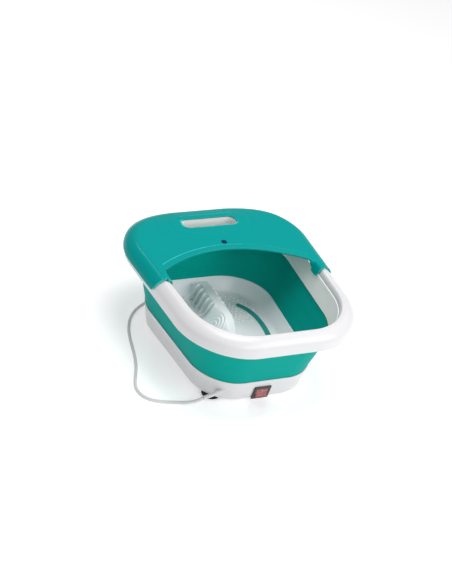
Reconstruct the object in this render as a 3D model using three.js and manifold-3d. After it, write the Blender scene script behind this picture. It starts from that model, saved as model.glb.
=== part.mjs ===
// Collapsible foot spa: a white base and rim joined by a folding silicone wall, with a clip-on splash cover.
// Millimetres, +Z up. The origin is on the floor under the middle of the rim; -Y is the front with the switch.
import * as THREE from 'three';
import { mergeVertices } from 'three/addons/utils/BufferGeometryUtils.js';
import Module from 'manifold-3d';

const wasm = await Module();
wasm.setup();

// ---- Driving dimensions ----------------------------------------------------------------------------------
// The plan is one rounded rectangle. "Inset" is the distance inside the rim's widest outline.
const RIM_HALF_WIDTH = 180;
const RIM_HALF_LENGTH = 214;
const FRONT_CORNER_RADIUS = 118;
const REAR_CORNER_RADIUS = 128;
const RADIUS_LOSS_PER_INSET = 0.75; // corners tighten more slowly than the outline shrinks
const WIDENING_AT_RIM = 0.00022; // growth of the width per mm towards the rear
const WIDENING_PER_INSET = 0.000006;
const SHIFT_PER_INSET = -0.04; // inner outlines sit slightly further forward
const PLAN_SEGMENTS = 40;

const FOOT_HEIGHT = 6;
const BASE_TOP = 51;
const LINER_BOTTOM = 129;
const SKIRT_BOTTOM = 147;
const COVER_TOP = 184;
const COVER_THICKNESS = 2.8;
const REAR_DROP = 12; // how far the rear edge of rim and cover curves down
const REAR_DROP_START = 150;
const REAR_DROP_BASE_Z = 150;
const REAR_DROP_FADE = 30;

const FLOOR_TOP = 24; // upper face of the pan's floor
const FLOOR_UNDER = 21.5;
const GAP = 0.3; // between pieces that touch
const MOUND = { y: 40, halfWidth: 27, halfLength: 92, height: 36, widening: 0.25, flatness: 0.6 };
const RIB_PLACES = [58, 73, 88, 103, 118];
const AIR_INLET = { x: 89, y: 50 };

const SLOT = { y: 147.5, length: 112, width: 29, radius: 12 };
const OPENING_ARC = { middleY: 60, endY: 8, halfWidth: 150 };
const SADDLE_FRONT_Y = -22;
const SADDLE_REAR_Y = 14;

const SWITCH = { x: -2, y: -156.1, z: 21, tilt: THREE.MathUtils.degToRad(10.5) };
const ROCKER_REST = THREE.MathUtils.degToRad(-9);

const FOOT_RADIUS = 17;
const LEFT_FRONT_FOOT = { x: -83, y: -121 };
const RIGHT_FRONT_FOOT = { x: 76, y: -112 };
const REAR_FOOT = { x: 78, y: 106 };
const SCREW_PLACES = [[-52, -96], [52, -96], [-60, 116], [60, 116]];
const SCREW_BORE = 2.2;

const CORD_RADIUS = 3;
const CORD_Z = 3.1;
const COIL = { x: 15, y: 206, innerRadius: 24, outerRadius: 42, height: 12 };
const COIL_TURN_RADIUS = 39;

// ---- Colours ---------------------------------------------------------------------------------------------
const WHITE = { color: 0xe9e9ee, roughness: 0.35, metalness: 0 };
const PAN_WHITE = { color: 0xdfe5e6, roughness: 0.4, metalness: 0 };
const TEAL = { color: 0x00a7a3, roughness: 0.4, metalness: 0 };
const SILICONE = { color: 0x059a90, roughness: 0.6, metalness: 0 };
const RUBBER = { color: 0x101114, roughness: 0.85, metalness: 0 };
const BLACK = { color: 0x17181b, roughness: 0.4, metalness: 0 };
const RED = { color: 0xa02a2a, roughness: 0.25, metalness: 0 };
const NAVY = { color: 0x003f65, roughness: 0.35, metalness: 0 };
const CORD_GREY = { color: 0xd9dadd, roughness: 0.5, metalness: 0 };
const STEEL = { color: 0xb4b7bb, roughness: 0.35, metalness: 1 };
const ALUMINIUM = { color: 0xc3c6ca, roughness: 0.45, metalness: 1 };
const BRASS = { color: 0xb99b52, roughness: 0.35, metalness: 1 };
const BOARD_GREEN = { color: 0x1d5b37, roughness: 0.6, metalness: 0 };
const GREY = { color: 0x6d7176, roughness: 0.6, metalness: 0 };

// ---- Solids: joining and cutting -------------------------------------------------------------------------
function toSolid(geometry) {
  const bare = geometry.clone();
  bare.deleteAttribute('normal');
  bare.deleteAttribute('uv');
  const welded = mergeVertices(bare, 1e-4);
  const corners = welded.index.array;
  const kept = [];
  for (let i = 0; i < corners.length; i += 3) {
    const [a, b, c] = [corners[i], corners[i + 1], corners[i + 2]];
    if (a !== b && b !== c && c !== a) kept.push(a, b, c);
  }
  return new wasm.Manifold(new wasm.Mesh({
    numProp: 3,
    vertProperties: new Float32Array(welded.attributes.position.array),
    triVerts: new Uint32Array(kept),
  }));
}

function toGeometry(solid) {
  const mesh = solid.getMesh();
  const geometry = new THREE.BufferGeometry();
  geometry.setAttribute('position', new THREE.BufferAttribute(mesh.vertProperties, 3));
  geometry.setIndex(new THREE.BufferAttribute(mesh.triVerts, 1));
  geometry.computeVertexNormals();
  return geometry;
}

function join(...geometries) {
  return toGeometry(geometries.map(toSolid).reduce((whole, piece) => whole.add(piece)));
}

function cut(geometry, ...tools) {
  return toGeometry(tools.map(toSolid).reduce((whole, tool) => whole.subtract(tool), toSolid(geometry)));
}

function keepInside(geometry, region) {
  return toGeometry(toSolid(geometry).intersect(toSolid(region)));
}

// ---- Plan outline ----------------------------------------------------------------------------------------
// A point of the outline, counted in segments anticlockwise from the front of the right front corner.
function planPoint(index, inset) {
  const perCorner = PLAN_SEGMENTS / 4;
  const corner = Math.floor(index / perCorner) % 4;
  const along = (index % perCorner) / (perCorner - 1);
  const angle = (corner - 1 + along) * Math.PI / 2;
  const sideX = corner < 2 ? 1 : -1;
  const sideY = corner === 1 || corner === 2 ? 1 : -1;
  const fullRadius = sideY < 0 ? FRONT_CORNER_RADIUS : REAR_CORNER_RADIUS;
  const radius = fullRadius - RADIUS_LOSS_PER_INSET * inset;
  const x = sideX * (RIM_HALF_WIDTH - inset - radius) + radius * Math.cos(angle);
  const y = sideY * (RIM_HALF_LENGTH - inset - radius) + radius * Math.sin(angle);
  const widening = 1 + (WIDENING_AT_RIM + WIDENING_PER_INSET * inset) * y;
  return [x * widening, y + SHIFT_PER_INSET * inset];
}

function rearDrop(y, z) {
  const back = Math.max(0, y - REAR_DROP_START) / (RIM_HALF_LENGTH - REAR_DROP_START);
  const height = THREE.MathUtils.clamp((z - REAR_DROP_BASE_Z) / REAR_DROP_FADE, 0, 1);
  return REAR_DROP * back * back * height;
}

// A lathe whose circles are bent to the plan outline. The profile lists [inset, z] anticlockwise with the
// outside on the right; AXIS stands for the middle, so a profile from axis to axis makes a disc-like solid.
const AXIS = null;
const LATHE_REACH = 400;
function planLathe(profile, drops = false) {
  const closed = profile[0][0] === AXIS ? profile : [...profile, profile[0]];
  const points = closed.map(([inset, z]) => new THREE.Vector2(inset === AXIS ? 0 : LATHE_REACH - inset, z));
  const geometry = new THREE.LatheGeometry(points, PLAN_SEGMENTS);
  const position = geometry.attributes.position;
  for (let i = 0; i < position.count; i += 1) {
    const [inset, z] = closed[i % closed.length];
    const turn = Math.floor(i / closed.length) % PLAN_SEGMENTS;
    const [x, y] = inset === AXIS ? [0, 0] : planPoint(turn, inset);
    position.setXYZ(i, x, y, drops ? z - rearDrop(y, z) : z);
  }
  return geometry;
}

// ---- Small shapes ----------------------------------------------------------------------------------------
function box(sizeX, sizeY, sizeZ, x, y, z) {
  return new THREE.BoxGeometry(sizeX, sizeY, sizeZ).translate(x, y, z);
}

function discZ(radius, z0, z1, x = 0, y = 0, sides = 20) {
  return new THREE.CylinderGeometry(radius, radius, z1 - z0, sides).rotateX(Math.PI / 2)
    .translate(x, y, (z0 + z1) / 2);
}

function rodY(radius, y0, y1, x, z, sides = 20) {
  return new THREE.CylinderGeometry(radius, radius, y1 - y0, sides).translate(x, (y0 + y1) / 2, z);
}

function turned(profile, sides = 24) {
  return new THREE.LatheGeometry(profile.map(([r, z]) => new THREE.Vector2(r, z)), sides).rotateX(Math.PI / 2);
}

function roundedRect(length, width, radius, x = 0, y = 0) {
  const [a, b] = [length / 2, width / 2];
  const shape = new THREE.Shape();
  shape.moveTo(x - a + radius, y - b);
  shape.lineTo(x + a - radius, y - b);
  shape.absarc(x + a - radius, y - b + radius, radius, -Math.PI / 2, 0);
  shape.absarc(x + a - radius, y + b - radius, radius, 0, Math.PI / 2);
  shape.lineTo(x - a + radius, y + b);
  shape.absarc(x - a + radius, y + b - radius, radius, Math.PI / 2, Math.PI);
  shape.absarc(x - a + radius, y - b + radius, radius, Math.PI, 1.5 * Math.PI);
  return shape;
}

function upright(shape, z0, z1, curveSegments = 6) {
  return new THREE.ExtrudeGeometry(shape, { depth: z1 - z0, bevelEnabled: false, curveSegments })
    .translate(0, 0, z0);
}

function polygon(points) {
  return new THREE.Shape(points.map(([x, y]) => new THREE.Vector2(x, y)));
}

// A plate whose outline is drawn in X and Z and which runs from y0 to y1.
function alongY(points, y0, y1) {
  return new THREE.ExtrudeGeometry(polygon(points), { depth: y1 - y0, bevelEnabled: false })
    .rotateX(Math.PI / 2).translate(0, y1, 0);
}

function tube(points, radius, steps, sides = 8) {
  const path = new THREE.CatmullRomCurve3(points.map((p) => new THREE.Vector3(...p)), false, 'centripetal');
  const ring = [];
  for (let i = 0; i < sides; i += 1) {
    const angle = (i / sides) * 2 * Math.PI;
    ring.push([radius * Math.cos(angle), radius * Math.sin(angle)]);
  }
  return new THREE.ExtrudeGeometry(polygon(ring), { extrudePath: path, steps, bevelEnabled: false });
}

function piece(name, geometry, look) {
  const mesh = new THREE.Mesh(geometry, new THREE.MeshStandardMaterial(look));
  mesh.name = name;
  return mesh;
}

// ---- Base ------------------------------------------------------------------------------------------------
// The long mound down the middle of the pan: a flat-topped ellipsoid that widens towards the rear. Its lower
// half, below the floor, is a mirror image that the pan's floor replaces.
function ridgeMound(grow) {
  const { y: middle, halfWidth, halfLength, height, widening, flatness } = MOUND;
  const geometry = new THREE.SphereGeometry(1, 24, 16).rotateX(Math.PI / 2);
  const position = geometry.attributes.position;
  for (let i = 0; i < position.count; i += 1) {
    const [x, y, z] = [position.getX(i), position.getY(i), position.getZ(i)];
    const rise = Math.sign(z) * Math.abs(z) ** flatness;
    position.setXYZ(i, x * (halfWidth + grow) * (1 + widening * y), middle + y * (halfLength + grow),
      FLOOR_TOP + rise * (height + grow));
  }
  return geometry;
}

// A curved band with pointed-round ends under each foot, drawn `grow` mm wider all round.
function bubbleStripShape(side, grow) {
  const path = new THREE.QuadraticBezierCurve(
    new THREE.Vector2(side * 67, 93), new THREE.Vector2(side * 103, 62), new THREE.Vector2(side * 84, -24));
  const halfWidth = 5.5 + grow;
  const steps = 10;
  const edge = (sign) => Array.from({ length: steps + 1 }, (_, i) => {
    const at = path.getPoint(i / steps);
    const along = path.getTangent(i / steps);
    return [at.x - sign * along.y * halfWidth, at.y + sign * along.x * halfWidth];
  });
  const cap = (t, direction) => {
    const at = path.getPoint(t);
    const along = path.getTangent(t);
    return [at.x + direction * along.x * halfWidth, at.y + direction * along.y * halfWidth];
  };
  return polygon([...edge(1), cap(1, 1), ...edge(-1).reverse(), cap(0, -1)]);
}

function basinPan() {
  const bowl = planLathe([
    [AXIS, FLOOR_UNDER], [78, FLOOR_UNDER], [72, 25], [60.1, 44], [57.9, BASE_TOP],
    [59.6, BASE_TOP], [62.4, 44.5], [74.5, 26], [79, FLOOR_TOP], [AXIS, FLOOR_TOP],
  ]);
  const aboveFloor = box(400, 500, 80, 0, 0, FLOOR_UNDER + 1 + 40);
  const mound = keepInside(ridgeMound(0), aboveFloor);
  const ribs = RIB_PLACES.map((y) => alongY([[-34, 23], [34, 23], [13, 54], [-13, 54]], y - 1.2, y + 1.2));
  const switchBlock = box(34, 14, 14.5, SWITCH.x, -144, 29.75);
  const switchSpace = box(30, 21, 20, SWITCH.x, -149.5, 25);
  const bosses = SCREW_PLACES.map(([x, y]) => discZ(5, 9.5, FLOOR_UNDER + 1, x, y, 16));
  const hollow = ridgeMound(-2.6);
  const bores = SCREW_PLACES.map(([x, y]) => discZ(SCREW_BORE, 9, 19, x, y, 12));
  const strips = [-1, 1].map((side) => upright(bubbleStripShape(side, GAP), 22.6, 26));
  const inlets = [-1, 1].map((side) => discZ(3.4, 20, 23, side * AIR_INLET.x, AIR_INLET.y, 12));
  const whole = join(bowl, mound, ...ribs, ...bosses, switchBlock);
  return cut(whole, hollow, switchSpace, ...bores, ...strips, ...inlets);
}

function baseHousing() {
  const skin = planLathe([
    [64.8, FOOT_HEIGHT], [63.0, 8.5], [60.3, 20], [56.7, 40], [54.2, BASE_TOP - 0.4],
    [55.3, BASE_TOP - 0.4], [57.3, 44], [59.2, 40], [62.8, 20], [65.4, 8.5], [66.6, FOOT_HEIGHT],
  ]);
  const switchHole = new THREE.BoxGeometry(28.6, 30, 22.6).rotateX(SWITCH.tilt)
    .translate(SWITCH.x, SWITCH.y, SWITCH.z);
  const cordHole = tube(GLAND_HOLE_PATH, 4.9, 1, 16);
  return cut(skin, switchHole, cordHole);
}

function bottomCover() {
  const plate = planLathe([[AXIS, FOOT_HEIGHT], [67.2, FOOT_HEIGHT], [67.2, 8.4], [AXIS, 8.4]]);
  const vents = [];
  for (let i = -3; i <= 3; i += 1) vents.push(upright(roundedRect(3, 30, 1.4, 7 * i, 88), 5, 9, 3));
  const holes = SCREW_PLACES.map(([x, y]) => discZ(SCREW_BORE, 5, 9, x, y, 12));
  return cut(plate, ...vents, ...holes);
}

function lowerClampRing() {
  return planLathe([[61.2, 33], [60.0, 40.6], [61.4, 40.6], [64.6, 33]]);
}

function foldingWall() {
  return planLathe([
    [58.8, 42], [55.7, BASE_TOP], [48.0, 78], [46.4, 82], [33.6, LINER_BOTTOM], [31.4, 138],
    [33.6, 138], [35.7, LINER_BOTTOM], [48.6, 82], [50.2, 78], [57.5, BASE_TOP], [60.8, 42],
  ]);
}

function foot(name, x, y) {
  const profile = [[0, 0], [FOOT_RADIUS - 1.5, 0], [FOOT_RADIUS, 1.5], [FOOT_RADIUS - 1, 5.7], [0, 5.7]];
  return piece(name, turned(profile).translate(x, y, 0), RUBBER);
}

function coverScrew(name, x, y) {
  const profile = [[0, 4.0], [3.2, 4.0], [3.8, 5.7], [1.8, 5.7], [1.8, 17], [0, 18.5]];
  return piece(name, turned(profile, 14).translate(x, y, 0), STEEL);
}

// ---- Switch, drawn square to its own panel: +Y runs into the base ------------------------------------------
function switchBezel() {
  const flange = box(34, 2.6, 30, 0, -1.75, 0);
  const body = box(28, 13, 22, 0, 5.5, 0);
  const window = box(23.4, 16, 19.4, 0, -1, 0);
  return cut(join(flange, body), window);
}

function switchRocker() {
  const section = [[-4.4, 8.9], [-3.1, 0], [-4.4, -8.9], [0.6, -8.9], [4.4, -3], [4.4, 3], [0.6, 8.9]];
  const acrossPanel = new THREE.Matrix4().makeBasis(
    new THREE.Vector3(0, 1, 0), new THREE.Vector3(0, 0, 1), new THREE.Vector3(1, 0, 0));
  return new THREE.ExtrudeGeometry(polygon(section), { depth: 22.6, bevelEnabled: false })
    .translate(0, 0, -11.3).applyMatrix4(acrossPanel).rotateX(ROCKER_REST);
}

function switchGroup() {
  const group = new THREE.Group();
  group.position.set(SWITCH.x, SWITCH.y, SWITCH.z);
  group.rotation.x = SWITCH.tilt;
  group.add(piece('switch_bezel', switchBezel(), BLACK), piece('switch_rocker', switchRocker(), RED));
  return group;
}

// ---- Works under the pan ---------------------------------------------------------------------------------
const MOTOR = { z: 31, radius: 11, y0: -8, y1: 24 };

function vibrationMotor() {
  const can = rodY(MOTOR.radius, MOTOR.y0, MOTOR.y1, 0, MOTOR.z, 24);
  const bearing = rodY(4, MOTOR.y0 - 2, MOTOR.y0 + 1, 0, MOTOR.z, 16);
  const shaftBore = rodY(1.25, MOTOR.y0 - 4, MOTOR.y0 + 8, 0, MOTOR.z, 16);
  return cut(join(can, bearing), shaftBore);
}

function eccentricWeight() {
  const shape = new THREE.Shape();
  shape.absarc(0, 0, 6.2, Math.PI, 2 * Math.PI, false);
  shape.lineTo(2.6, 0);
  shape.absarc(0, 0, 2.6, 0, Math.PI, false);
  shape.lineTo(-6.2, 0);
  const weight = new THREE.ExtrudeGeometry(shape, { depth: 4.5, bevelEnabled: false, curveSegments: 8 })
    .rotateX(Math.PI / 2).translate(0, MOTOR.y0 - 3, MOTOR.z);
  const shaft = rodY(1.2, MOTOR.y0 - 8, MOTOR.y0 + 6, 0, MOTOR.z, 16);
  return join(weight, shaft);
}

function motorBracket() {
  const cradle = box(30, 26, 13.5, 0, 8, 17.75);
  const plate = box(44, 26, 2.6, 0, 8, 10);
  const seat = rodY(MOTOR.radius + GAP, -10, 30, 0, MOTOR.z, 24);
  return cut(join(cradle, plate), seat);
}

function airPump() {
  const body = upright(roundedRect(28, 40, 5, 0, 92), 8.8, 20);
  const head = upright(roundedRect(17, 34, 4, 4, 92), 19, 34);
  const nozzles = [-1, 1].map((side) => box(6, 6, 6, side * 16, 76, 14.5));
  return join(body, head, ...nozzles);
}

function airHose(side) {
  const points = [[19.4, 76, 14.5], [34, 75, 14.5], [58, 64, 14.2], [77, 53.5, 13.2], [86, 50.6, 14.2],
    [89, 50, 17.6], [89, 50, 22.2]];
  return tube(points.map(([x, y, z]) => [side * x, y, z]), 2.4, 18);
}

function heaterPlate() {
  return upright(roundedRect(46, 110, 8, -62, -30), 18.9, FLOOR_UNDER - GAP);
}

function thermostat() {
  return join(discZ(8, 12.6, 18.6, -62, -30, 24), box(24, 5, 2, -62, -30, 14));
}

function thermalFuse() {
  return new THREE.CylinderGeometry(2.2, 2.2, 13, 12).translate(-62, -58, 16);
}

function controlBoard() {
  return box(44, 76, 1.6, 60, -42, 11);
}

function boardRelay() {
  return box(15, 19, 8, 68, -30, 16.2);
}

function terminalBlock() {
  return cut(box(22, 12, 8, 56, -66, 16.2), ...[-1, 0, 1].map((i) => rodY(1.6, -76, -64, 56 + 7 * i, 16.5, 10)));
}

// ---- Cord ------------------------------------------------------------------------------------------------
// The strain relief leaves the front left corner at a slant, pointing to the left and a little down.
const GLAND_START = [-75.5, -147.1, 28.4];
const GLAND_TIP = [-112.4, -147.1, 15.9];
const GLAND_HOLE_PATH = [[-70.8, -147.1, 30], [-94, -147.1, 22.1]];

function cordGland() {
  const [start, tip] = [new THREE.Vector3(...GLAND_START), new THREE.Vector3(...GLAND_TIP)];
  const length = start.distanceTo(tip);
  const profile = [[0, 0], [4.4, 0], [4.4, 15], [3.5, length], [0, length]];
  const turn = new THREE.Quaternion().setFromUnitVectors(
    new THREE.Vector3(0, 0, 1), tip.clone().sub(start).normalize());
  return turned(profile, 16).applyQuaternion(turn).translate(...GLAND_START);
}

// The free cord: down to the floor on the left, back round the base, then into the coil behind it.
const CORD_ROUTE = [
  [-112.8, -147.1, 15.8], [-127, -146.8, 11], [-143, -142, 6.6], [-158, -136, 4.2], [-174, -130.5, CORD_Z],
  [-189, -125, CORD_Z], [-203, -116, CORD_Z], [-212, -102, CORD_Z], [-214, -85, CORD_Z], [-209, -67, CORD_Z],
  [-200, -48, CORD_Z], [-190, -26, CORD_Z], [-181, 0, CORD_Z], [-174, 28, CORD_Z], [-167, 57, CORD_Z],
  [-157, 86, CORD_Z], [-142, 113, CORD_Z], [-121, 136, CORD_Z], [-95, 153, CORD_Z], [-66, 164, CORD_Z],
  [-40, 168, CORD_Z], [-16.5, 167, CORD_Z],
];
const CORD_TAIL = [[44.6, 167.6, 8.4], [54, 167, 7.6], [64, 167, 7.3], [71.4, 167, 7.3]];

function powerCord() {
  return tube(CORD_ROUTE, CORD_RADIUS, 46);
}

function cordTail() {
  return tube(CORD_TAIL, CORD_RADIUS, 4);
}

function cordCoil() {
  const { innerRadius: inner, outerRadius: outer, height } = COIL;
  const profile = [[inner, 1.5], [inner + 1.5, 0.1], [outer - 1.5, 0.1], [outer, 1.5], [outer, height - 1.5],
    [outer - 1.5, height], [inner + 1.5, height], [inner, height - 1.5], [inner, 1.5]];
  return turned(profile, 32).translate(COIL.x, COIL.y, 0);
}

function plugBody() {
  const half = roundedRect(36, 26, 7);
  const body = new THREE.ExtrudeGeometry(half, {
    depth: 10.4, bevelThickness: 1.6, bevelSize: 1.6, bevelOffset: -1.6, bevelSegments: 1, curveSegments: 4,
  }).translate(100, 167, 1.8);
  const boot = new THREE.CylinderGeometry(5, 3.8, 13, 14).rotateZ(-Math.PI / 2).translate(78.2, 167, 7.3);
  return join(body, boot);
}

function plugPin(side) {
  const profile = [[0, 0], [2, 0], [2, 17.6], [1.2, 19], [0, 19]];
  return turned(profile, 14).rotateY(Math.PI / 2).translate(118.3, 167 + side * 9.5, 7);
}

// ---- Rim and its liner -----------------------------------------------------------------------------------
const RIM_SKIN = [[2, SKIRT_BOTTOM], [2, 161], [3.2, 166], [5.8, 170.5], [10.5, 175.5], [16, 179], [21.5, 180.6],
  [26, 180], [28.4, 177.4], [29.2, 168.2]];
const RIM_INSIDE = [[26.8, 168.2], [26.2, 175.6], [22, 177.8], [15.5, 175.6], [8.2, 169], [4.8, 161],
  [4.6, SKIRT_BOTTOM]];

function handSlot(grow, z0, z1) {
  const { length, width, radius, y } = SLOT;
  return upright(roundedRect(length + 2 * grow, width + 2 * grow, radius + grow, 0, y), z0, z1);
}

function rimFrame() {
  const ring = planLathe([...RIM_SKIN, ...RIM_INSIDE], true);
  const shelfDisc = planLathe([[AXIS, 171.4], [27.6, 171.4], [27.6, 174.2], [AXIS, 174.2]]);
  const behind = box(500, 200, 60, 0, 118 + 100, 165);
  const shelf = keepInside(shelfDisc, behind);
  const slotWall = handSlot(2.8, 150, 173);
  return cut(join(ring, shelf, slotWall), handSlot(0, 140, 190));
}

function rimLiner() {
  return planLathe([
    [36.1, LINER_BOTTOM], [29.7, 160], [29.4, 167.9], [31.4, 167.9], [31.8, 160], [38.5, LINER_BOTTOM],
  ]);
}

// ---- Splash cover ----------------------------------------------------------------------------------------
const COVER_SKIN = [[-1.5, 156], [-1.5, 161.7], [0, 167.3], [3.1, 172.7], [8.5, 178.3], [14.8, 182.2],
  [21, COVER_TOP]];
const COVER_INSIDE = [[21.4, COVER_TOP - COVER_THICKNESS], [15.8, 179.7], [10.2, 176.1], [5.3, 171], [2.6, 166.4],
  [1.3, 161.2], [1.3, 156]];

// The cover's plan: everything behind the arched front edge, with an arm along each side.
function coverRegion() {
  const shape = new THREE.Shape();
  const { middleY, endY, halfWidth } = OPENING_ARC;
  const side = 230;
  shape.moveTo(-side, SADDLE_FRONT_Y);
  shape.lineTo(-halfWidth, SADDLE_FRONT_Y);
  shape.lineTo(-halfWidth, endY);
  shape.quadraticCurveTo(0, 2 * middleY - endY, halfWidth, endY);
  shape.lineTo(halfWidth, SADDLE_FRONT_Y);
  shape.lineTo(side, SADDLE_FRONT_Y);
  shape.lineTo(side, 260);
  shape.lineTo(-side, 260);
  return upright(shape, 140, 200, 14);
}

function saddleTongue(side) {
  const top = COVER_TOP - 0.3;
  const section = [[143.1, 163], [145.8, 163], [149.4, 178.6], [150.6, 181.4], [154, 181.4], [154, top], [147.2, top]];
  const points = section.map(([x, z]) => [side * x, z]);
  return alongY(side > 0 ? points : points.reverse(), SADDLE_FRONT_Y, SADDLE_REAR_Y);
}

function splashCover() {
  const underside = COVER_TOP - COVER_THICKNESS;
  const dome = planLathe([
    [AXIS, underside], [60, underside], ...COVER_INSIDE, ...COVER_SKIN, [60, COVER_TOP], [AXIS, COVER_TOP],
  ], true);
  const shell = keepInside(dome, coverRegion());
  return cut(join(shell, saddleTongue(-1), saddleTongue(1)), handSlot(0, 170, 200));
}

function coverBadge() {
  return discZ(5.5, COVER_TOP + GAP, COVER_TOP + 1.1, 0, 82, 24);
}

// ---- Assembly --------------------------------------------------------------------------------------------
function stripPiece(name, side) {
  return piece(name, upright(bubbleStripShape(side, 0), 22.9, 25.2), TEAL);
}

const spa = new THREE.Group();
spa.add(
  piece('basin_pan', basinPan(), PAN_WHITE),
  piece('base_housing', baseHousing(), WHITE),
  piece('bottom_cover', bottomCover(), WHITE),
  piece('lower_clamp_ring', lowerClampRing(), GREY),
  piece('folding_wall', foldingWall(), SILICONE),
  foot('foot_front_left', LEFT_FRONT_FOOT.x, LEFT_FRONT_FOOT.y),
  foot('foot_front_right', RIGHT_FRONT_FOOT.x, RIGHT_FRONT_FOOT.y),
  foot('foot_rear_left', -REAR_FOOT.x, REAR_FOOT.y),
  foot('foot_rear_right', REAR_FOOT.x, REAR_FOOT.y),
  ...SCREW_PLACES.map(([x, y], i) => coverScrew(`cover_screw_${i + 1}`, x, y)),
  stripPiece('bubble_strip_left', -1),
  stripPiece('bubble_strip_right', 1),
  switchGroup(),
);
spa.add(
  piece('vibration_motor', vibrationMotor(), STEEL),
  piece('motor_bracket', motorBracket(), GREY),
  piece('eccentric_weight', eccentricWeight(), BRASS),
  piece('air_pump', airPump(), BLACK),
  piece('air_hose_left', airHose(-1), GREY),
  piece('air_hose_right', airHose(1), GREY),
  piece('heater_plate', heaterPlate(), ALUMINIUM),
  piece('thermostat', thermostat(), BLACK),
  piece('thermal_fuse', thermalFuse(), WHITE),
  piece('control_board', controlBoard(), BOARD_GREEN),
  piece('board_relay', boardRelay(), BLACK),
  piece('terminal_block', terminalBlock(), WHITE),
);
spa.add(
  piece('cord_gland', cordGland(), CORD_GREY),
  piece('power_cord', powerCord(), CORD_GREY),
  piece('cord_coil', cordCoil(), CORD_GREY),
  piece('cord_tail', cordTail(), CORD_GREY),
  piece('plug_body', plugBody(), CORD_GREY),
  piece('plug_pin_left', plugPin(-1), BRASS),
  piece('plug_pin_right', plugPin(1), BRASS),
);
spa.add(
  piece('rim_frame', rimFrame(), WHITE),
  piece('rim_liner', rimLiner(), WHITE),
  piece('splash_cover', splashCover(), TEAL),
  piece('cover_badge', coverBadge(), NAVY),
);

export default spa;
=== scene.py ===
"""Collapsible foot spa: moulded base, folding silicone wall, rim, clip-on splash cover, switch and mains
lead.

Every visible shell is a surface worked out on a grid from the plan outline and a profile, in millimetres, and
handed to the mesh in metres. Each class below is one sub-assembly that builds and dresses its own pieces.
"""
import sys

import logging
import math
from dataclasses import dataclass
from enum import Enum
from functools import cache

import bmesh
import bpy
import numpy as np
from mathutils import Matrix, Vector


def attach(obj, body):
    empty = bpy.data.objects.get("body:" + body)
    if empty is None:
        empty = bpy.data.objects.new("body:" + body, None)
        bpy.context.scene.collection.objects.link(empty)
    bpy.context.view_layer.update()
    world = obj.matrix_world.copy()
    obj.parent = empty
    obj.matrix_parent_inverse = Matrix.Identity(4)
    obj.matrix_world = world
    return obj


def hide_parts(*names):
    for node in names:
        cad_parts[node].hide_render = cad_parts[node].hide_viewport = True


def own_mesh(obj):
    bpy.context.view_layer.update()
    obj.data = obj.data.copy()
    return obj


MM = 0.001
LOG = logging.getLogger("foot_spa")

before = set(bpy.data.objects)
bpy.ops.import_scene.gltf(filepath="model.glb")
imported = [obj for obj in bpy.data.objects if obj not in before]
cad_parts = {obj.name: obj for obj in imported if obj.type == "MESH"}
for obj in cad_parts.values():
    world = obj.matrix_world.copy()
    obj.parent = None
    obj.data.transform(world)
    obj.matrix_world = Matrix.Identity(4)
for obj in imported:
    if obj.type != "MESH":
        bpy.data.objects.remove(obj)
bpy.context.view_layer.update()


class Body(Enum):
    """The rigid bodies that the pieces made here ride on."""

    BASE = "base"
    RIM = "rim"
    COVER = "cover"
    ROCKER = "rocker"


class Slot(Enum):
    """The record's slots, listed with each piece made here but not set on it."""

    WHITE = "white_shell"
    PAN = "pan_white"
    TEAL = "teal_shell"
    SILICONE = "silicone"
    RUBBER = "foot_rubber"
    BLACK = "black_plastic"
    RED = "red_lens"
    BADGE = "badge_blue"
    CORD = "cord_pvc"


# ---- Small numeric helpers -------------------------------------------------
def smoothstep(low: float, high: float, value: np.ndarray) -> np.ndarray:
    """Smooth 0-to-1 ramp: t squared times (3 - 2t), with t the clipped fraction from low to high."""
    t = np.clip((value - low) / (high - low), 0.0, 1.0)
    return t * t * (3.0 - 2.0 * t)


def hump(distance: np.ndarray, width: float) -> np.ndarray:
    """Bell curve exp(-(d / width) squared)."""
    return np.exp(-((distance / width) ** 2))


def mix(a: np.ndarray, b: np.ndarray, share: np.ndarray) -> np.ndarray:
    """Straight mix of a and b: a at share 0 and b at share 1."""
    return a + (b - a) * share


def rounded(points: list, radius: float, steps: int = 4, closed: bool = True,
            support: float = 0.5) -> np.ndarray:
    """Profile with its corners rounded.

    Each corner p becomes a quadratic curve from p + c*d1 to p + c*d2, where d1 and d2 point at the neighbours
    and c is the fillet's cut length, at most 42% of either side. A support point just outside each end of the
    curve keeps the flats next to it flat in shading.

    Args:
        points: corner points [inset, z] in millimetres.
        radius: cut length of the fillets.
        steps: spans in each fillet.
        closed: whether the last point joins the first.
        support: distance of the support points from the fillet.

    Returns:
        Array (n, 2) of profile points.
    """
    p = np.asarray(points, float)
    before, after = np.roll(p, 1, 0), np.roll(p, -1, 0)
    len1 = np.linalg.norm(before - p, axis=1, keepdims=True)
    len2 = np.linalg.norm(after - p, axis=1, keepdims=True)
    d1, d2 = (before - p) / np.maximum(len1, 1e-9), (after - p) / np.maximum(len2, 1e-9)
    cut = np.minimum(radius, 0.42 * np.minimum(len1, len2))
    pad = np.minimum(support, 0.3 * (0.5 * np.minimum(len1, len2) - cut))
    t = np.linspace(0, 1, steps + 1)[None, :, None]
    start, end = (p + d1 * cut)[:, None], (p + d2 * cut)[:, None]
    curve = start * (1 - t) ** 2 + p[:, None] * 2 * t * (1 - t) + end * t ** 2
    full = np.concatenate([(p + d1 * (cut + pad))[:, None], curve, (p + d2 * (cut + pad))[:, None]], 1)
    if closed:
        return full.reshape(-1, 2)
    return np.concatenate([p[:1], full[1:-1].reshape(-1, 2), p[-1:]])


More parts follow.
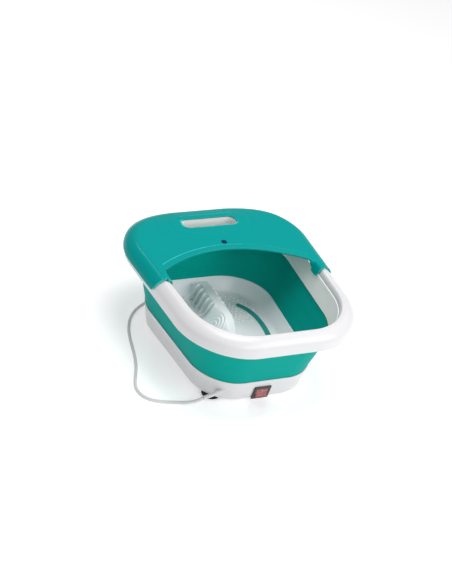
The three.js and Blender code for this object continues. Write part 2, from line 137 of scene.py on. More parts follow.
def catmull_rom(points: np.ndarray, steps: int) -> np.ndarray:
    """Smooth curve through points, (n, k) to ((n - 1) * steps + 1, k), with the usual half-difference
    tangents."""
    p = np.asarray(points, float)
    tangent = np.gradient(p, axis=0)
    t = np.linspace(0, 1, steps, endpoint=False)[None, :, None]
    a, b, ta, tb = p[:-1, None], p[1:, None], tangent[:-1, None], tangent[1:, None]
    h = (2 * t ** 3 - 3 * t ** 2 + 1) * a + (t ** 3 - 2 * t ** 2 + t) * ta
    h = h + (-2 * t ** 3 + 3 * t ** 2) * b + (t ** 3 - t ** 2) * tb
    return np.concatenate([h.reshape(-1, p.shape[1]), p[-1:]])


def path_length(points: np.ndarray) -> float:
    """Sum of the distances between neighbouring points."""
    return float(np.linalg.norm(np.diff(points, axis=0), axis=1).sum())


# ---- Meshes from grids -----------------------------------------------------
@dataclass
class Shell:
    """Vertices in millimetres with their faces, before they become a mesh."""

    vertices: np.ndarray
    faces: list

    def joined(self, other: "Shell") -> "Shell":
        """Both shells in one list of vertices."""
        offset = len(self.vertices)
        moved = [[i + offset for i in face] for face in other.faces]
        return Shell(np.concatenate([self.vertices, other.vertices]), self.faces + moved)


def skin(rings: np.ndarray, loop: bool = False, around: bool = True, caps: tuple = ()) -> Shell:
    """Quads over a grid of rings.

    Args:
        rings: (rows, columns, 3) points.
        loop: whether the last row joins the first.
        around: whether the last column joins the first.
        caps: rows (0 or -1) closed with a fan to their mean point.

    Returns:
        The shell.
    """
    rows, cols = rings.shape[:2]
    index = np.arange(rows * cols).reshape(rows, cols)
    grid = np.concatenate([index, index[:1]]) if loop else index
    grid = np.concatenate([grid, grid[:, :1]], 1) if around else grid
    quads = np.stack([grid[:-1, :-1], grid[:-1, 1:], grid[1:, 1:], grid[1:, :-1]], -1).reshape(-1, 4)
    vertices, faces = rings.reshape(-1, 3), quads.tolist()
    for row in caps:
        middle = len(vertices)
        vertices = np.concatenate([vertices, rings[row].mean(0, keepdims=True)])
        ring = index[row]
        faces += np.stack([ring, np.roll(ring, -1), np.full(cols, middle)], -1).tolist()
    return Shell(vertices, faces)


def make_piece(name: str, shell: Shell, sharp: float = 40.0, recalculate: bool = True) -> bpy.types.Object:
    """Makes an object from a shell, smooth shaded, with edges sharper than the angle kept crisp.

    Args:
        name: the piece's name.
        shell: vertices in millimetres and faces.
        sharp: angle in degrees.
        recalculate: turn every closed shell's faces outwards.

    Returns:
        The object, at the origin.
    """
    mesh = bpy.data.meshes.new(name)
    mesh.from_pydata((shell.vertices * MM).tolist(), [], shell.faces)
    if recalculate:
        bm = bmesh.new()
        bm.from_mesh(mesh)
        bmesh.ops.remove_doubles(bm, verts=bm.verts, dist=1e-6)
        bmesh.ops.recalc_face_normals(bm, faces=bm.faces)
        bm.to_mesh(mesh)
        bm.free()
    mesh.validate()
    mesh.shade_smooth()
    mesh.set_sharp_from_angle(angle=math.radians(sharp))
    obj = bpy.data.objects.new(name, mesh)
    bpy.context.scene.collection.objects.link(obj)
    return obj


def freeze(obj: bpy.types.Object, sharp: float = 40.0) -> None:
    """Applies the object's modifiers to its mesh."""
    view = bpy.context.evaluated_depsgraph_get()
    mesh = bpy.data.meshes.new_from_object(obj.evaluated_get(view))
    obj.modifiers.clear()
    obj.data = mesh
    mesh.shade_smooth()
    mesh.set_sharp_from_angle(angle=math.radians(sharp))


def bevel(obj: bpy.types.Object, width: float, segments: int = 2, angle: float = 35.0) -> None:
    """Adds a bevel of that width in millimetres on the edges sharper than the angle."""
    modifier = obj.modifiers.new("edge_round", "BEVEL")
    modifier.width, modifier.segments = width * MM, segments
    modifier.limit_method, modifier.angle_limit = "ANGLE", math.radians(angle)
    modifier.use_clamp_overlap = True


def drill(obj: bpy.types.Object, *tools: bpy.types.Object) -> None:
    """Cuts the tools' solids out of the piece and removes the tools."""
    for tool in tools:
        modifier = obj.modifiers.new("cut", "BOOLEAN")
        modifier.operation, modifier.solver, modifier.object = "DIFFERENCE", "EXACT", tool
        freeze(obj)
        bpy.data.objects.remove(tool)


def placed(points: np.ndarray, turn: Matrix, place: tuple) -> np.ndarray:
    """Points turned by a 3 by 3 matrix and moved to a place."""
    return points @ np.array(turn, float).T + np.array(place, float)


def turned(radii: np.ndarray, heights: np.ndarray, count: int, centre: tuple = (0.0, 0.0)) -> np.ndarray:
    """Rings (rows, count, 3) of a turned shape: a circle of each radius at each height, about a vertical
    axis."""
    angle = np.linspace(0, 2 * math.pi, count, endpoint=False)
    r, z = np.asarray(radii, float)[:, None], np.asarray(heights, float)[:, None]
    return np.stack([centre[0] + r * np.cos(angle), centre[1] + r * np.sin(angle),
                     np.broadcast_to(z, (len(r), count))], -1)


def rounded_box(half_x: np.ndarray, half_y: np.ndarray, radius: float, steps: int,
                grow: float = 0.0) -> tuple:
    """Outline of a rounded rectangle, anticlockwise, grown all round.

    Args:
        half_x: half widths.
        half_y: half lengths.
        radius: corner radius before growing.
        steps: points in each corner.
        grow: added all round.

    Returns:
        Arrays of the two coordinates.
    """
    corner = np.repeat(np.arange(4), steps)
    angle = (corner - 1) * math.pi / 2 + np.tile(np.linspace(0, math.pi / 2, steps), 4)
    side_x = np.where(corner < 2, 1, -1)
    side_y = np.where((corner == 1) | (corner == 2), 1, -1)
    return (side_x * (half_x - radius) + (radius + grow) * np.cos(angle),
            side_y * (half_y - radius) + (radius + grow) * np.sin(angle))


# ---- Plan outline ----------------------------------------------------------
@dataclass(frozen=True)
class PlanOutline:
    """The rounded rectangle that every shell follows. Inset is the distance inside the rim's widest
    outline."""

    half_width: float = 180.0
    half_length: float = 214.0
    front_radius: float = 118.0
    rear_radius: float = 128.0
    radius_loss: float = 0.75
    widening: float = 0.00022
    widening_per_inset: float = 0.000006
    shift_per_inset: float = -0.04
    drop: float = 12.0
    drop_start: float = 150.0
    drop_low: float = 150.0
    drop_span: float = 30.0

    def _corner(self, corner: np.ndarray, angle: np.ndarray, inset: np.ndarray) -> tuple:
        """Point at an angle on a corner's arc: arc centre plus R(cos, sin), then widened towards the rear."""
        side_x = np.where(corner < 2, 1.0, -1.0)
        side_y = np.where((corner == 1) | (corner == 2), 1.0, -1.0)
        radius = np.where(side_y < 0, self.front_radius, self.rear_radius) - self.radius_loss * inset
        x = side_x * (self.half_width - inset - radius) + radius * np.cos(angle)
        y = side_y * (self.half_length - inset - radius) + radius * np.sin(angle)
        x = x * (1 + (self.widening + self.widening_per_inset * inset) * y)
        return x, y + self.shift_per_inset * inset

    def at(self, turn: np.ndarray, inset: np.ndarray) -> tuple:
        """Points of the outline.

        Args:
            turn: 0 to 8 anticlockwise from the front of the right front corner; even spans are the corner
                arcs and odd spans the straights between them.
            inset: distance inside the widest outline.

        Returns:
            Arrays x and y.
        """
        turn, inset = np.broadcast_arrays(np.mod(turn, 8.0), inset)
        span = np.floor(turn).astype(int)
        share, corner = turn - span, span // 2
        arc = self._corner(corner, (corner - 1 + share) * math.pi / 2, inset)
        straight_angle = corner * math.pi / 2
        one = self._corner(corner, straight_angle, inset)
        two = self._corner((corner + 1) % 4, straight_angle, inset)
        on_arc = span % 2 == 0
        return tuple(np.where(on_arc, a, mix(b, c, share)) for a, b, c in zip(arc, one, two))

    def stations(self, arc_steps: int = 34, side_steps: int = 10) -> np.ndarray:
        """Turn values round the whole outline."""
        steps = [arc_steps, side_steps] * 4
        return np.concatenate([k + np.linspace(0, 1, n, endpoint=False) for k, n in enumerate(steps)])

    def rear_drop(self, y: np.ndarray, z: np.ndarray) -> np.ndarray:
        """How far the rear curves down: 12 mm times the squared distance behind, faded in with height."""
        back = np.maximum(0.0, y - self.drop_start) / (self.half_length - self.drop_start)
        return self.drop * back ** 2 * np.clip((z - self.drop_low) / self.drop_span, 0.0, 1.0)

    def rings(self, profile: np.ndarray, drops: bool = False, stations: np.ndarray = None) -> np.ndarray:
        """A profile [inset, z] carried round the outline, as rings (profile, stations, 3)."""
        turn = self.stations() if stations is None else stations
        x, y = self.at(turn[None, :], profile[:, :1])
        z = np.broadcast_to(profile[:, 1:], x.shape).copy()
        if drops:
            z = z - self.rear_drop(y, z)
        return np.stack([x, y, z], -1)


PLAN = PlanOutline()


# ---- Shader node groups ----------------------------------------------------
class Graph:
    """A shader node group while it is being wired."""

    def __init__(self, name: str, inputs: list, outputs: list) -> None:
        """Starts the group with its sockets.

        Args:
            name: group name.
            inputs: (socket name, default) pairs; a tuple default makes a colour and a number makes a value.
            outputs: (socket name, kind) pairs.
        """
        self.group = bpy.data.node_groups.new(name, "ShaderNodeTree")
        for label, default in inputs:
            kind = "NodeSocketColor" if isinstance(default, tuple) else "NodeSocketFloat"
            socket = self.group.interface.new_socket(label, in_out="INPUT", socket_type=kind)
            socket.default_value = default
        for label, kind in outputs:
            self.group.interface.new_socket(label, in_out="OUTPUT", socket_type=kind)
        self.link = self.group.links.new
        self.source = self.node("NodeGroupInput").outputs
        self.sink = self.node("NodeGroupOutput").inputs

    def node(self, kind: str) -> bpy.types.Node:
        """New node of that kind."""
        return self.group.nodes.new(kind)

    def noise(self, scale: object, detail: float) -> object:
        """Noise over object coordinates, from a number or a socket for its scale."""
        noise = self.node("ShaderNodeTexNoise")
        noise.inputs["Detail"].default_value = detail
        self.link(self.node("ShaderNodeTexCoord").outputs["Object"], noise.inputs["Vector"])
        self._feed(scale, noise.inputs["Scale"])
        return noise.outputs["Fac"]

    def maths(self, kind: str, a: object, b: object) -> object:
        """Output of a Math node over two sockets or numbers."""
        node = self.node("ShaderNodeMath")
        node.operation = kind
        self._feed(a, node.inputs[0])
        self._feed(b, node.inputs[1])
        return node.outputs[0]

    def blend(self, share: object, a: object, b: object) -> object:
        """Colour a at share 0 and colour b at share 1."""
        node = self.node("ShaderNodeMix")
        node.data_type = "RGBA"
        colour_a, colour_b, colour = 6, 7, 2
        self.link(share, node.inputs[0])
        self.link(a, node.inputs[colour_a])
        self.link(b, node.inputs[colour_b])
        return node.outputs[colour]

    def _feed(self, value: object, socket: object) -> None:
        """Sets a socket from a number, or links it."""
        if isinstance(value, (int, float)):
            socket.default_value = value
        else:
            self.link(value, socket)


COLOUR_OUT, VALUE_OUT = "NodeSocketColor", "NodeSocketFloat"


@cache
def moulded_grain() -> bpy.types.NodeTree:
    """Moulded surface: cloudy tone, a fine grain for the bump and a roughness that wanders with both."""
    g = Graph("moulded_grain",
              [("Color", (0.8, 0.8, 0.8, 1)), ("Tone", 0.05), ("Cloud Scale", 14.0), ("Grain Scale", 900.0),
               ("Roughness", 0.4), ("Spread", 0.08)],
              [("Color", COLOUR_OUT), ("Roughness", VALUE_OUT), ("Height", VALUE_OUT)])
    grain = g.noise(g.source["Grain Scale"], 2.0)
    wander = g.maths("SUBTRACT", g.noise(g.source["Cloud Scale"], 3.0), 0.5)
    shade = g.node("ShaderNodeVectorMath")
    shade.operation = "SCALE"
    g.link(g.source["Color"], shade.inputs[0])
    g.link(g.maths("ADD", g.maths("MULTIPLY", wander, g.source["Tone"]), 1.0), shade.inputs["Scale"])
    g.link(shade.outputs[0], g.sink["Color"])
    both = g.maths("ADD", wander, g.maths("SUBTRACT", grain, 0.5))
    spread = g.maths("MULTIPLY", both, g.source["Spread"])
    g.link(g.maths("ADD", g.source["Roughness"], spread), g.sink["Roughness"])
    g.link(grain, g.sink["Height"])
    return g.group


@cache
def edge_wear_and_highlight() -> bpy.types.NodeTree:
    """Rubbed edges, and painted highlights on the edges of some finishes: the mesh's pointiness above flat,
    broken up by noise, mixes in the worn colour.
    """
    g = Graph("edge_wear_and_highlight", [("Color", (0.8, 0.8, 0.8, 1)), ("Worn And Highlight Color", (1, 1, 1, 1)), ("Amount", 0.3)],
              [("Color", COLOUR_OUT)])
    ramp = g.node("ShaderNodeMapRange")
    ramp.inputs["From Min"].default_value, ramp.inputs["From Max"].default_value = 0.515, 0.6
    g.link(g.node("ShaderNodeNewGeometry").outputs["Pointiness"], ramp.inputs["Value"])
    broken = g.maths("MULTIPLY", ramp.outputs[0], g.noise(160.0, 4.0))
    mask = g.maths("MULTIPLY", broken, g.source["Amount"])
    g.link(g.blend(mask, g.source["Color"], g.source["Worn And Highlight Color"]), g.sink["Color"])
    return g.group


@cache
def dust_film() -> bpy.types.NodeTree:
    """Thin dust on faces that look up: the normal's Z times cloudy noise, with a duller roughness."""
    g = Graph("dust_film", [("Color", (0.8, 0.8, 0.8, 1)), ("Dust Color", (0.7, 0.7, 0.68, 1)),
                            ("Roughness", 0.4), ("Amount", 0.1)],
              [("Color", COLOUR_OUT), ("Roughness", VALUE_OUT)])
    parts = g.node("ShaderNodeSeparateXYZ")
    g.link(g.node("ShaderNodeNewGeometry").outputs["Normal"], parts.inputs[0])
    up = g.maths("MAXIMUM", parts.outputs["Z"], 0.0)
    film = g.maths("MULTIPLY", g.maths("MULTIPLY", up, g.noise(45.0, 5.0)), g.source["Amount"])
    g.link(g.blend(film, g.source["Color"], g.source["Dust Color"]), g.sink["Color"])
    g.link(g.maths("ADD", g.source["Roughness"], film), g.sink["Roughness"])
    return g.group


@dataclass(frozen=True)
class Finish:
    """One finish: a base colour with tone, grain, worn edges that on some finishes are painted highlights,
    and a thin dust film.
    """

    name: str
    colour: tuple
    roughness: float
    worn_and_highlight: tuple
    tone: float = 0.05
    cloud_scale: float = 14.0
    grain_scale: float = 900.0
    spread: float = 0.08
    bump: float = 0.06
    bump_depth: float = 0.05
    wear_and_highlight: float = 0.25
    dust: float = 0.06
    metallic: float = 0.0
    coat: float = 0.0
    coat_roughness: float = 0.1
    sheen: float = 0.0
    specular: float = 0.5
    subsurface: float = 0.0

    def material(self) -> bpy.types.Material:
        """The finish's material, made on first use."""
        found = bpy.data.materials.get(self.name)
        if found:
            return found
        made = bpy.data.materials.new(self.name)
        made.use_nodes = True
        nodes, links = made.node_tree.nodes, made.node_tree.links
        shader = nodes["Principled BSDF"]
        grain, wear_and_highlight, dust = (nodes.new("ShaderNodeGroup") for _ in range(3))
        grain.node_tree, wear_and_highlight.node_tree, dust.node_tree = (
            moulded_grain(), edge_wear_and_highlight(), dust_film())
        for label, value in (("Color", (*self.colour, 1.0)), ("Tone", self.tone),
                             ("Cloud Scale", self.cloud_scale), ("Grain Scale", self.grain_scale),
                             ("Roughness", self.roughness), ("Spread", self.spread)):
            grain.inputs[label].default_value = value
        wear_and_highlight.inputs["Worn And Highlight Color"].default_value = (*self.worn_and_highlight, 1.0)
        wear_and_highlight.inputs["Amount"].default_value = self.wear_and_highlight
        dust.inputs["Amount"].default_value = self.dust
        links.new(grain.outputs["Color"], wear_and_highlight.inputs["Color"])
        links.new(wear_and_highlight.outputs["Color"], dust.inputs["Color"])
        links.new(grain.outputs["Roughness"], dust.inputs["Roughness"])
        links.new(dust.outputs["Color"], shader.inputs["Base Color"])
        links.new(dust.outputs["Roughness"], shader.inputs["Roughness"])
        relief = nodes.new("ShaderNodeBump")
        relief.inputs["Strength"].default_value, relief.inputs["Distance"].default_value = (
            self.bump, self.bump_depth * MM)
        links.new(grain.outputs["Height"], relief.inputs["Height"])
        links.new(relief.outputs["Normal"], shader.inputs["Normal"])
        for label, value in (("Metallic", self.metallic), ("Coat Weight", self.coat),
                             ("Coat Roughness", self.coat_roughness), ("Sheen Weight", self.sheen),
                             ("Specular IOR Level", self.specular), ("Subsurface Weight", self.subsurface)):
            shader.inputs[label].default_value = value
        if self.subsurface:
            shader.inputs["Subsurface Radius"].default_value = (1.0, 1.0, 1.0)
            shader.inputs["Subsurface Scale"].default_value = 0.003
        return made


WHITE_ABS = Finish("white_abs", (0.74, 0.74, 0.752), 0.3, (0.95, 0.95, 0.95), tone=0.02, grain_scale=1100.0,
                   bump=0.05, coat=0.15, coat_roughness=0.12, dust=0.03)
# A lighter copy of the white plastic for the rim's inner faces, the liner and the slot shelf: painted light
# that makes up for the shade inside the basin and the hand slot.
LIGHTENED_WHITE_ABS = Finish("lightened_white_abs", (0.92, 0.92, 0.9), 0.38, (0.9, 0.9, 0.9), tone=0.03, bump=0.06, dust=0.04)
# The pan's white is lighter than the housing's, in part as painted light that makes up for the shade inside
# the basin.
PAN_ABS = Finish("pan_abs", (0.9, 0.915, 0.935), 0.36, (0.9, 0.92, 0.93), tone=0.05, cloud_scale=22.0,
                 wear_and_highlight=0.5, bump=0.08, coat=0.2, coat_roughness=0.2, dust=0.03)
# The teal's edge colour is a painted highlight: bright teal mixed in at full amount on sharp edges, such as
# the opening's lip and round the slot, stands in for catch lights.
TEAL_ABS = Finish("teal_abs", (0.0, 0.31, 0.298), 0.2, (0.08, 0.66, 0.63), tone=0.03, grain_scale=1200.0,
                  bump=0.05, wear_and_highlight=1.0, dust=0.0, specular=0.06)
TEAL_SILICONE = Finish("teal_silicone", (0.0, 0.35, 0.295), 0.5, (0.03, 0.45, 0.4), tone=0.06,
                       cloud_scale=9.0, grain_scale=700.0, bump=0.12, wear_and_highlight=0.3, dust=0.0, specular=0.04)
STRIP_TEAL = Finish("strip_teal", (0.0, 0.30, 0.27), 0.45, (0.1, 0.5, 0.45), tone=0.05, bump=0.1)
BLACK_RUBBER = Finish("black_rubber", (0.006, 0.0065, 0.008), 0.75, (0.05, 0.05, 0.055), tone=0.3,
                      grain_scale=1500.0, bump=0.35, bump_depth=0.12, dust=0.05, specular=0.3)
BLACK_NYLON = Finish("black_nylon", (0.012, 0.011, 0.012), 0.35, (0.09, 0.09, 0.09), tone=0.2,
                     grain_scale=1300.0, bump=0.2, coat=0.2)
ROCKER_RED = Finish("rocker_red", (0.36, 0.045, 0.045), 0.16, (0.7, 0.25, 0.22), tone=0.15, cloud_scale=60.0,
                    bump=0.04, coat=0.8, coat_roughness=0.06, dust=0.02, subsurface=0.25)
MARK_PALE = Finish("mark_pale", (0.62, 0.36, 0.34), 0.35, (0.8, 0.6, 0.6), bump=0.05)
BADGE_NAVY = Finish("badge_navy", (0.001, 0.03, 0.1), 0.3, (0.01, 0.06, 0.16), tone=0.1, bump=0.05, wear_and_highlight=0.0,
                    dust=0.0, specular=0.08)
# The nubs' white is lighter than the pan's, and pure white is mixed in on their sharp edges: painted
# highlights that make the nubs read as bright dots. The glossy coat gives real glints.
NUB_ABS = Finish("nub_abs", (0.95, 0.955, 0.96), 0.14, (1.0, 1.0, 1.0), tone=0.02, wear_and_highlight=0.6, bump=0.03,
                 coat=0.8, coat_roughness=0.05, dust=0.0)
CORD_PVC = Finish("cord_pvc_grey", (0.70, 0.70, 0.71), 0.45, (0.8, 0.8, 0.8), tone=0.06, cloud_scale=30.0,
                  grain_scale=1400.0, bump=0.15, dust=0.05)
STEEL_ZINC = Finish("steel_zinc", (0.52, 0.53, 0.55), 0.34, (0.8, 0.8, 0.8), tone=0.15, cloud_scale=60.0,
                    bump=0.1, metallic=1.0)
ALUMINIUM_SHEET = Finish("aluminium_sheet", (0.62, 0.63, 0.65), 0.42, (0.85, 0.85, 0.85), tone=0.12,
                         cloud_scale=40.0, bump=0.12, metallic=1.0)
BRASS_BAR = Finish("brass_bar", (0.60, 0.42, 0.15), 0.3, (0.8, 0.65, 0.35), tone=0.15, cloud_scale=50.0,
                   bump=0.08, metallic=1.0)
BOARD_GREEN = Finish("board_green", (0.012, 0.11, 0.04), 0.4, (0.2, 0.3, 0.15), tone=0.2, cloud_scale=80.0,
                     bump=0.1, coat=0.5)
GREY_NYLON = Finish("grey_nylon", (0.15, 0.165, 0.18), 0.5, (0.4, 0.4, 0.42), tone=0.12, bump=0.15)


def dress(obj: bpy.types.Object, finish: Finish, body: Body, slot: Slot, *nodes: str) -> bpy.types.Object:
    """Gives a new piece its finish and body, and hides the CAD nodes that it stands for.

    Args:
        obj: the piece.
        finish: its finish.
        body: the body it rides on.
        slot: the record's slot; not used.
        nodes: CAD nodes that it replaces.

    Returns:
        The piece.
    """
    obj.data.materials.clear()
    obj.data.materials.append(finish.material())
    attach(obj, body.value)
    if nodes:
        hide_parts(*nodes)
    faces = len(obj.data.polygons) if obj.type == "MESH" else 0
    LOG.info("%s: %s faces, %s, on %s", obj.name, faces, finish.name, body.value)
    return obj


def dress_node(name: str, finish: Finish) -> None:
    """Gives a CAD node that stays in view its finish."""
    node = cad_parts[name]
    node.data.materials.clear()
    node.data.materials.append(finish.material())
    LOG.info("%s: kept from the frame, %s", name, finish.name)


# ---- Studio ----------------------------------------------------------------
@dataclass
class Studio:
    """Camera, pale floor and soft lights."""

    azimuth: float = -33.42
    elevation: float = 33.88
    roll: float = 14.04
    place: tuple = (-1498.5, -2235.4, 1930.3)
    lens: float = 109.52
    world_strength: float = 0.4

    def camera(self) -> bpy.types.Object:
        """Camera looking down at the front left corner, rolled about its own axis."""
        az, el, roll = (math.radians(a) for a in (self.azimuth, self.elevation, self.roll))
        back = Vector((math.sin(az) * math.cos(el), -math.cos(az) * math.cos(el), math.sin(el)))
        right = Vector((math.cos(az), math.sin(az), 0.0))
        up = back.cross(right)
        right2 = math.cos(roll) * right + math.sin(roll) * up
        up2 = -math.sin(roll) * right + math.cos(roll) * up
        data = bpy.data.cameras.new("studio_camera")
        data.lens, data.sensor_width, data.sensor_fit = self.lens, 36.0, "AUTO"
        data.clip_start, data.clip_end = 0.1, 60.0
        obj = bpy.data.objects.new("studio_camera", data)
        turn = Matrix((right2, up2, back)).transposed().to_4x4()
        obj.matrix_world = Matrix.Translation(Vector(self.place) * MM) @ turn
        bpy.context.scene.collection.objects.link(obj)
        bpy.context.scene.camera = obj
        return obj

    def floor(self) -> bpy.types.Object:
        """A wide pale floor with a faint gloss."""
        side = 12000.0
        ends = np.linspace(-side, side, 2)
        x, y = np.meshgrid(ends, ends)
        shell = skin(np.stack([x, y, np.zeros_like(x)], -1), around=False)
        obj = make_piece("studio_floor", shell, recalculate=False)
        made = bpy.data.materials.new("studio_floor")
        made.use_nodes = True
        shader = made.node_tree.nodes["Principled BSDF"]
        shader.inputs["Base Color"].default_value = (0.93, 0.93, 0.935, 1)
        shader.inputs["Roughness"].default_value = 0.06
        shader.inputs["Emission Color"].default_value = (1, 1, 1, 1)
        shader.inputs["Emission Strength"].default_value = 0.33
        obj.data.materials.append(made)
        return obj

    def light(self, name: str, place: tuple, aim: tuple, size: float, power: float) -> None:
        """One square soft box.

        Args:
            name: light name.
            place: its middle, metres.
            aim: the point it faces, metres.
            size: side, metres.
            power: watts.
        """
        data = bpy.data.lights.new(name, "AREA")
        data.shape, data.size, data.energy = "SQUARE", size, power
        obj = bpy.data.objects.new(name, data)
        obj.location = place
        obj.rotation_euler = (Vector(aim) - Vector(place)).to_track_quat("-Z", "Y").to_euler()
        bpy.context.scene.collection.objects.link(obj)

    def build(self) -> None:
        """Makes everything but the camera."""
        self.floor()
        world = bpy.data.worlds.new("studio_world")
        world.use_nodes = True
        world.node_tree.nodes["Background"].inputs[0].default_value = (1.0, 1.0, 1.0, 1.0)
        world.node_tree.nodes["Background"].inputs[1].default_value = self.world_strength
        bpy.context.scene.world = world
        self.light("key_box", (1.6, -1.85, 1.6), (0.0, 0.0, 0.1), 1.7, 26.0)
        self.light("fill_box", (0.1, -2.2, 1.4), (0.0, 0.09, 0.06), 0.9, 10.0)
        self.light("top_box", (0.05, 0.0, 2.0), (0.0, 0.02, 0.1), 1.1, 20.0)
        self.light("glint_box", (-0.3, 1.9, 1.9), (0.0, 0.1, 0.18), 0.35, 5.0)
        bpy.context.scene.view_settings.view_transform = "Standard"
        LOG.info("studio: camera, floor and soft boxes")


# ---- Mains lead ------------------------------------------------------------
@dataclass
class MainsLead:
    """Strain relief, cord, coil and plug. The route repeats the part's own points."""

    radius: float = 3.0
    floor_z: float = 3.1
    gland_start: tuple = (-75.5, -147.1, 28.4)
    gland_tip: tuple = (-112.4, -147.1, 15.9)
    coil_middle: tuple = (15.0, 206.0)
    coil_radii: tuple = (39.0, 33.0, 27.0)
    upper_z: float = 9.1
    points_per_turn: int = 16

    def route(self) -> np.ndarray:
        """Centreline: the free stretch, two layers of turns, and the tail into the plug.

        Returns:
            Array (n, 3) in millimetres.
        """
        z = self.floor_z
        free = np.array([
            [-112.8, -147.1, 15.8], [-127, -146.8, 11], [-143, -142, 6.6], [-158, -136, 4.2],
            [-174, -130.5, z], [-189, -125, z], [-203, -116, z], [-212, -102, z], [-214, -85, z],
            [-209, -67, z], [-200, -48, z], [-190, -26, z], [-181, 0, z], [-174, 28, z], [-167, 57, z],
            [-157, 86, z], [-142, 113, z], [-121, 136, z], [-95, 153, z], [-66, 164, z], [-40, 168, z],
            [-16.5, 167, z]])
        outer, middle, inner = self.coil_radii
        knots = [0.0, 0.75, 1.0, 1.75, 2.0, 3.0, 3.25, 4.0, 4.25, 5.0, 5.25, 6.0]
        radii = [outer, outer, middle, middle, inner, inner, inner, inner, middle, middle, outer, outer]
        knots_z = [0.0, 2.75, 3.15, 6.0]
        turns = np.linspace(0, 6, 6 * self.points_per_turn + 1)
        r = np.interp(turns, knots, radii)
        height = np.interp(turns, knots_z, [z, z, self.upper_z, self.upper_z])
        angle = -math.pi / 2 + 2 * math.pi * turns
        coil = np.stack([self.coil_middle[0] + r * np.cos(angle), self.coil_middle[1] + r * np.sin(angle),
                         height], -1)
        tail = np.array([[44.6, 167.6, 8.4], [54, 167, 7.6], [64, 167, 7.3], [71.4, 167, 7.3]])
        return np.concatenate([free, coil, tail])

    def cord(self) -> tuple:
        """The lead as one open curve with smooth handles.

        Returns:
            The curve object and its length in metres.
        """
        points = self.route() * MM
        tangent = np.gradient(points, axis=0)
        tangent /= np.linalg.norm(tangent, axis=1, keepdims=True)
        gap = np.linalg.norm(np.diff(points, axis=0), axis=1)
        before, after = np.concatenate([gap[:1], gap]) / 3, np.concatenate([gap, gap[-1:]]) / 3
        left, right = points - tangent * before[:, None], points + tangent * after[:, None]
        data = bpy.data.curves.new("mains_cord", "CURVE")
        data.dimensions, data.bevel_depth = "3D", self.radius * MM
        data.bevel_resolution, data.resolution_u = 4, 6
        data.use_fill_caps = True
        spline = data.splines.new("BEZIER")
        spline.bezier_points.add(len(points) - 1)
        for handle in ("handle_left_type", "handle_right_type"):
            kinds = np.full(len(points), 0, np.int32)
            spline.bezier_points.foreach_set(handle, kinds)
        spline.bezier_points.foreach_set("co", points.astype(np.float32).ravel())
        spline.bezier_points.foreach_set("handle_left", left.astype(np.float32).ravel())
        spline.bezier_points.foreach_set("handle_right", right.astype(np.float32).ravel())
        obj = bpy.data.objects.new("mains_cord", data)
        bpy.context.scene.collection.objects.link(obj)
        t = np.linspace(0, 1, 12)[None, :, None]
        a, b, c, d = points[:-1, None], right[:-1, None], left[1:, None], points[1:, None]
        line = a * (1 - t) ** 3 + 3 * b * t * (1 - t) ** 2 + 3 * c * t ** 2 * (1 - t) + d * t ** 3
        return obj, path_length(line.reshape(-1, 3))

    def strain_relief(self) -> bpy.types.Object:
        """Tapered sleeve with ring grooves, turned about the slanted exit: r falls from 4.4 to 3.75 mm, with
        six grooves of a raised-cosine section cut into its outer half."""
        start, tip = np.array(self.gland_start), np.array(self.gland_tip)
        length = float(np.linalg.norm(tip - start))
        along = np.linspace(-9.0, length, 90)
        groove = 0.5 - 0.5 * np.cos(2 * math.pi * np.clip((along - 14.5) / 3.6, 0, 6))
        r = np.interp(along, [0, 14, length], [4.4, 4.4, 3.75]) - 0.55 * groove
        rings = turned(r, along, 32)
        turn = Vector((0, 0, 1)).rotation_difference(Vector(tip - start)).to_matrix()
        shell = skin(placed(rings, turn, self.gland_start), caps=(0, -1))
        return make_piece("strain_relief", shell)

    def plug(self) -> bpy.types.Object:
        """Moulded two-pin plug: a squarish section |y/b|^n + |z/c|^n = 1 carried along X, narrow at the boot,
        wide over the body, with finger grooves across its sides."""
        x = np.concatenate([np.linspace(71.7, 84.5, 14), np.linspace(85, 117.9, 48)])
        b = np.interp(x, [71.7, 84.5, 88, 94, 113, 117.9], [3.8, 5.0, 9.5, 12.8, 12.9, 12.3])
        c = np.interp(x, [71.7, 84.5, 88, 94, 115, 117.9], [3.8, 5.0, 6.2, 6.7, 6.7, 6.2])
        grip = smoothstep(91, 95, x) * (1 - smoothstep(106, 109, x))
        b = b - grip * (0.5 - 0.5 * np.cos(2 * math.pi * (x - 92) / 3.4)) * 0.7
        ring_mark = smoothstep(72.5, 74, x) * (1 - smoothstep(83, 84, x))
        c = c - 0.35 * ring_mark * (0.5 - 0.5 * np.cos(2 * math.pi * (x - 72.5) / 2.4))
        power = np.interp(x, [84, 92], [2.0, 3.6])[:, None]
        angle = np.linspace(0, 2 * math.pi, 56, endpoint=False)[None, :]
        cos, sin = np.cos(angle), np.sin(angle)
        y = 167 + b[:, None] * np.sign(cos) * np.abs(cos) ** (2 / power)
        z = 7.1 + c[:, None] * np.sign(sin) * np.abs(sin) ** (2 / power)
        rings = np.stack([np.broadcast_to(x[:, None], y.shape), y, z], -1)
        obj = make_piece("mains_plug", skin(rings, caps=(0, -1)))
        bevel(obj, 0.8, 2)
        return obj

    def build(self) -> None:
        obj, length = self.cord()
        dress(obj, CORD_PVC, Body.BASE, Slot.CORD, "power_cord", "cord_coil", "cord_tail")
        relief = dress(self.strain_relief(), CORD_PVC, Body.BASE, Slot.CORD, "cord_gland")
        plug = dress(self.plug(), CORD_PVC, Body.BASE, Slot.CORD, "plug_body")
        pins = ["plug_pin_left", "plug_pin_right"]
        for pin in pins:
            dress_node(pin, BRASS_BAR)
        LOG.info("mains cord: %.4f m", length)


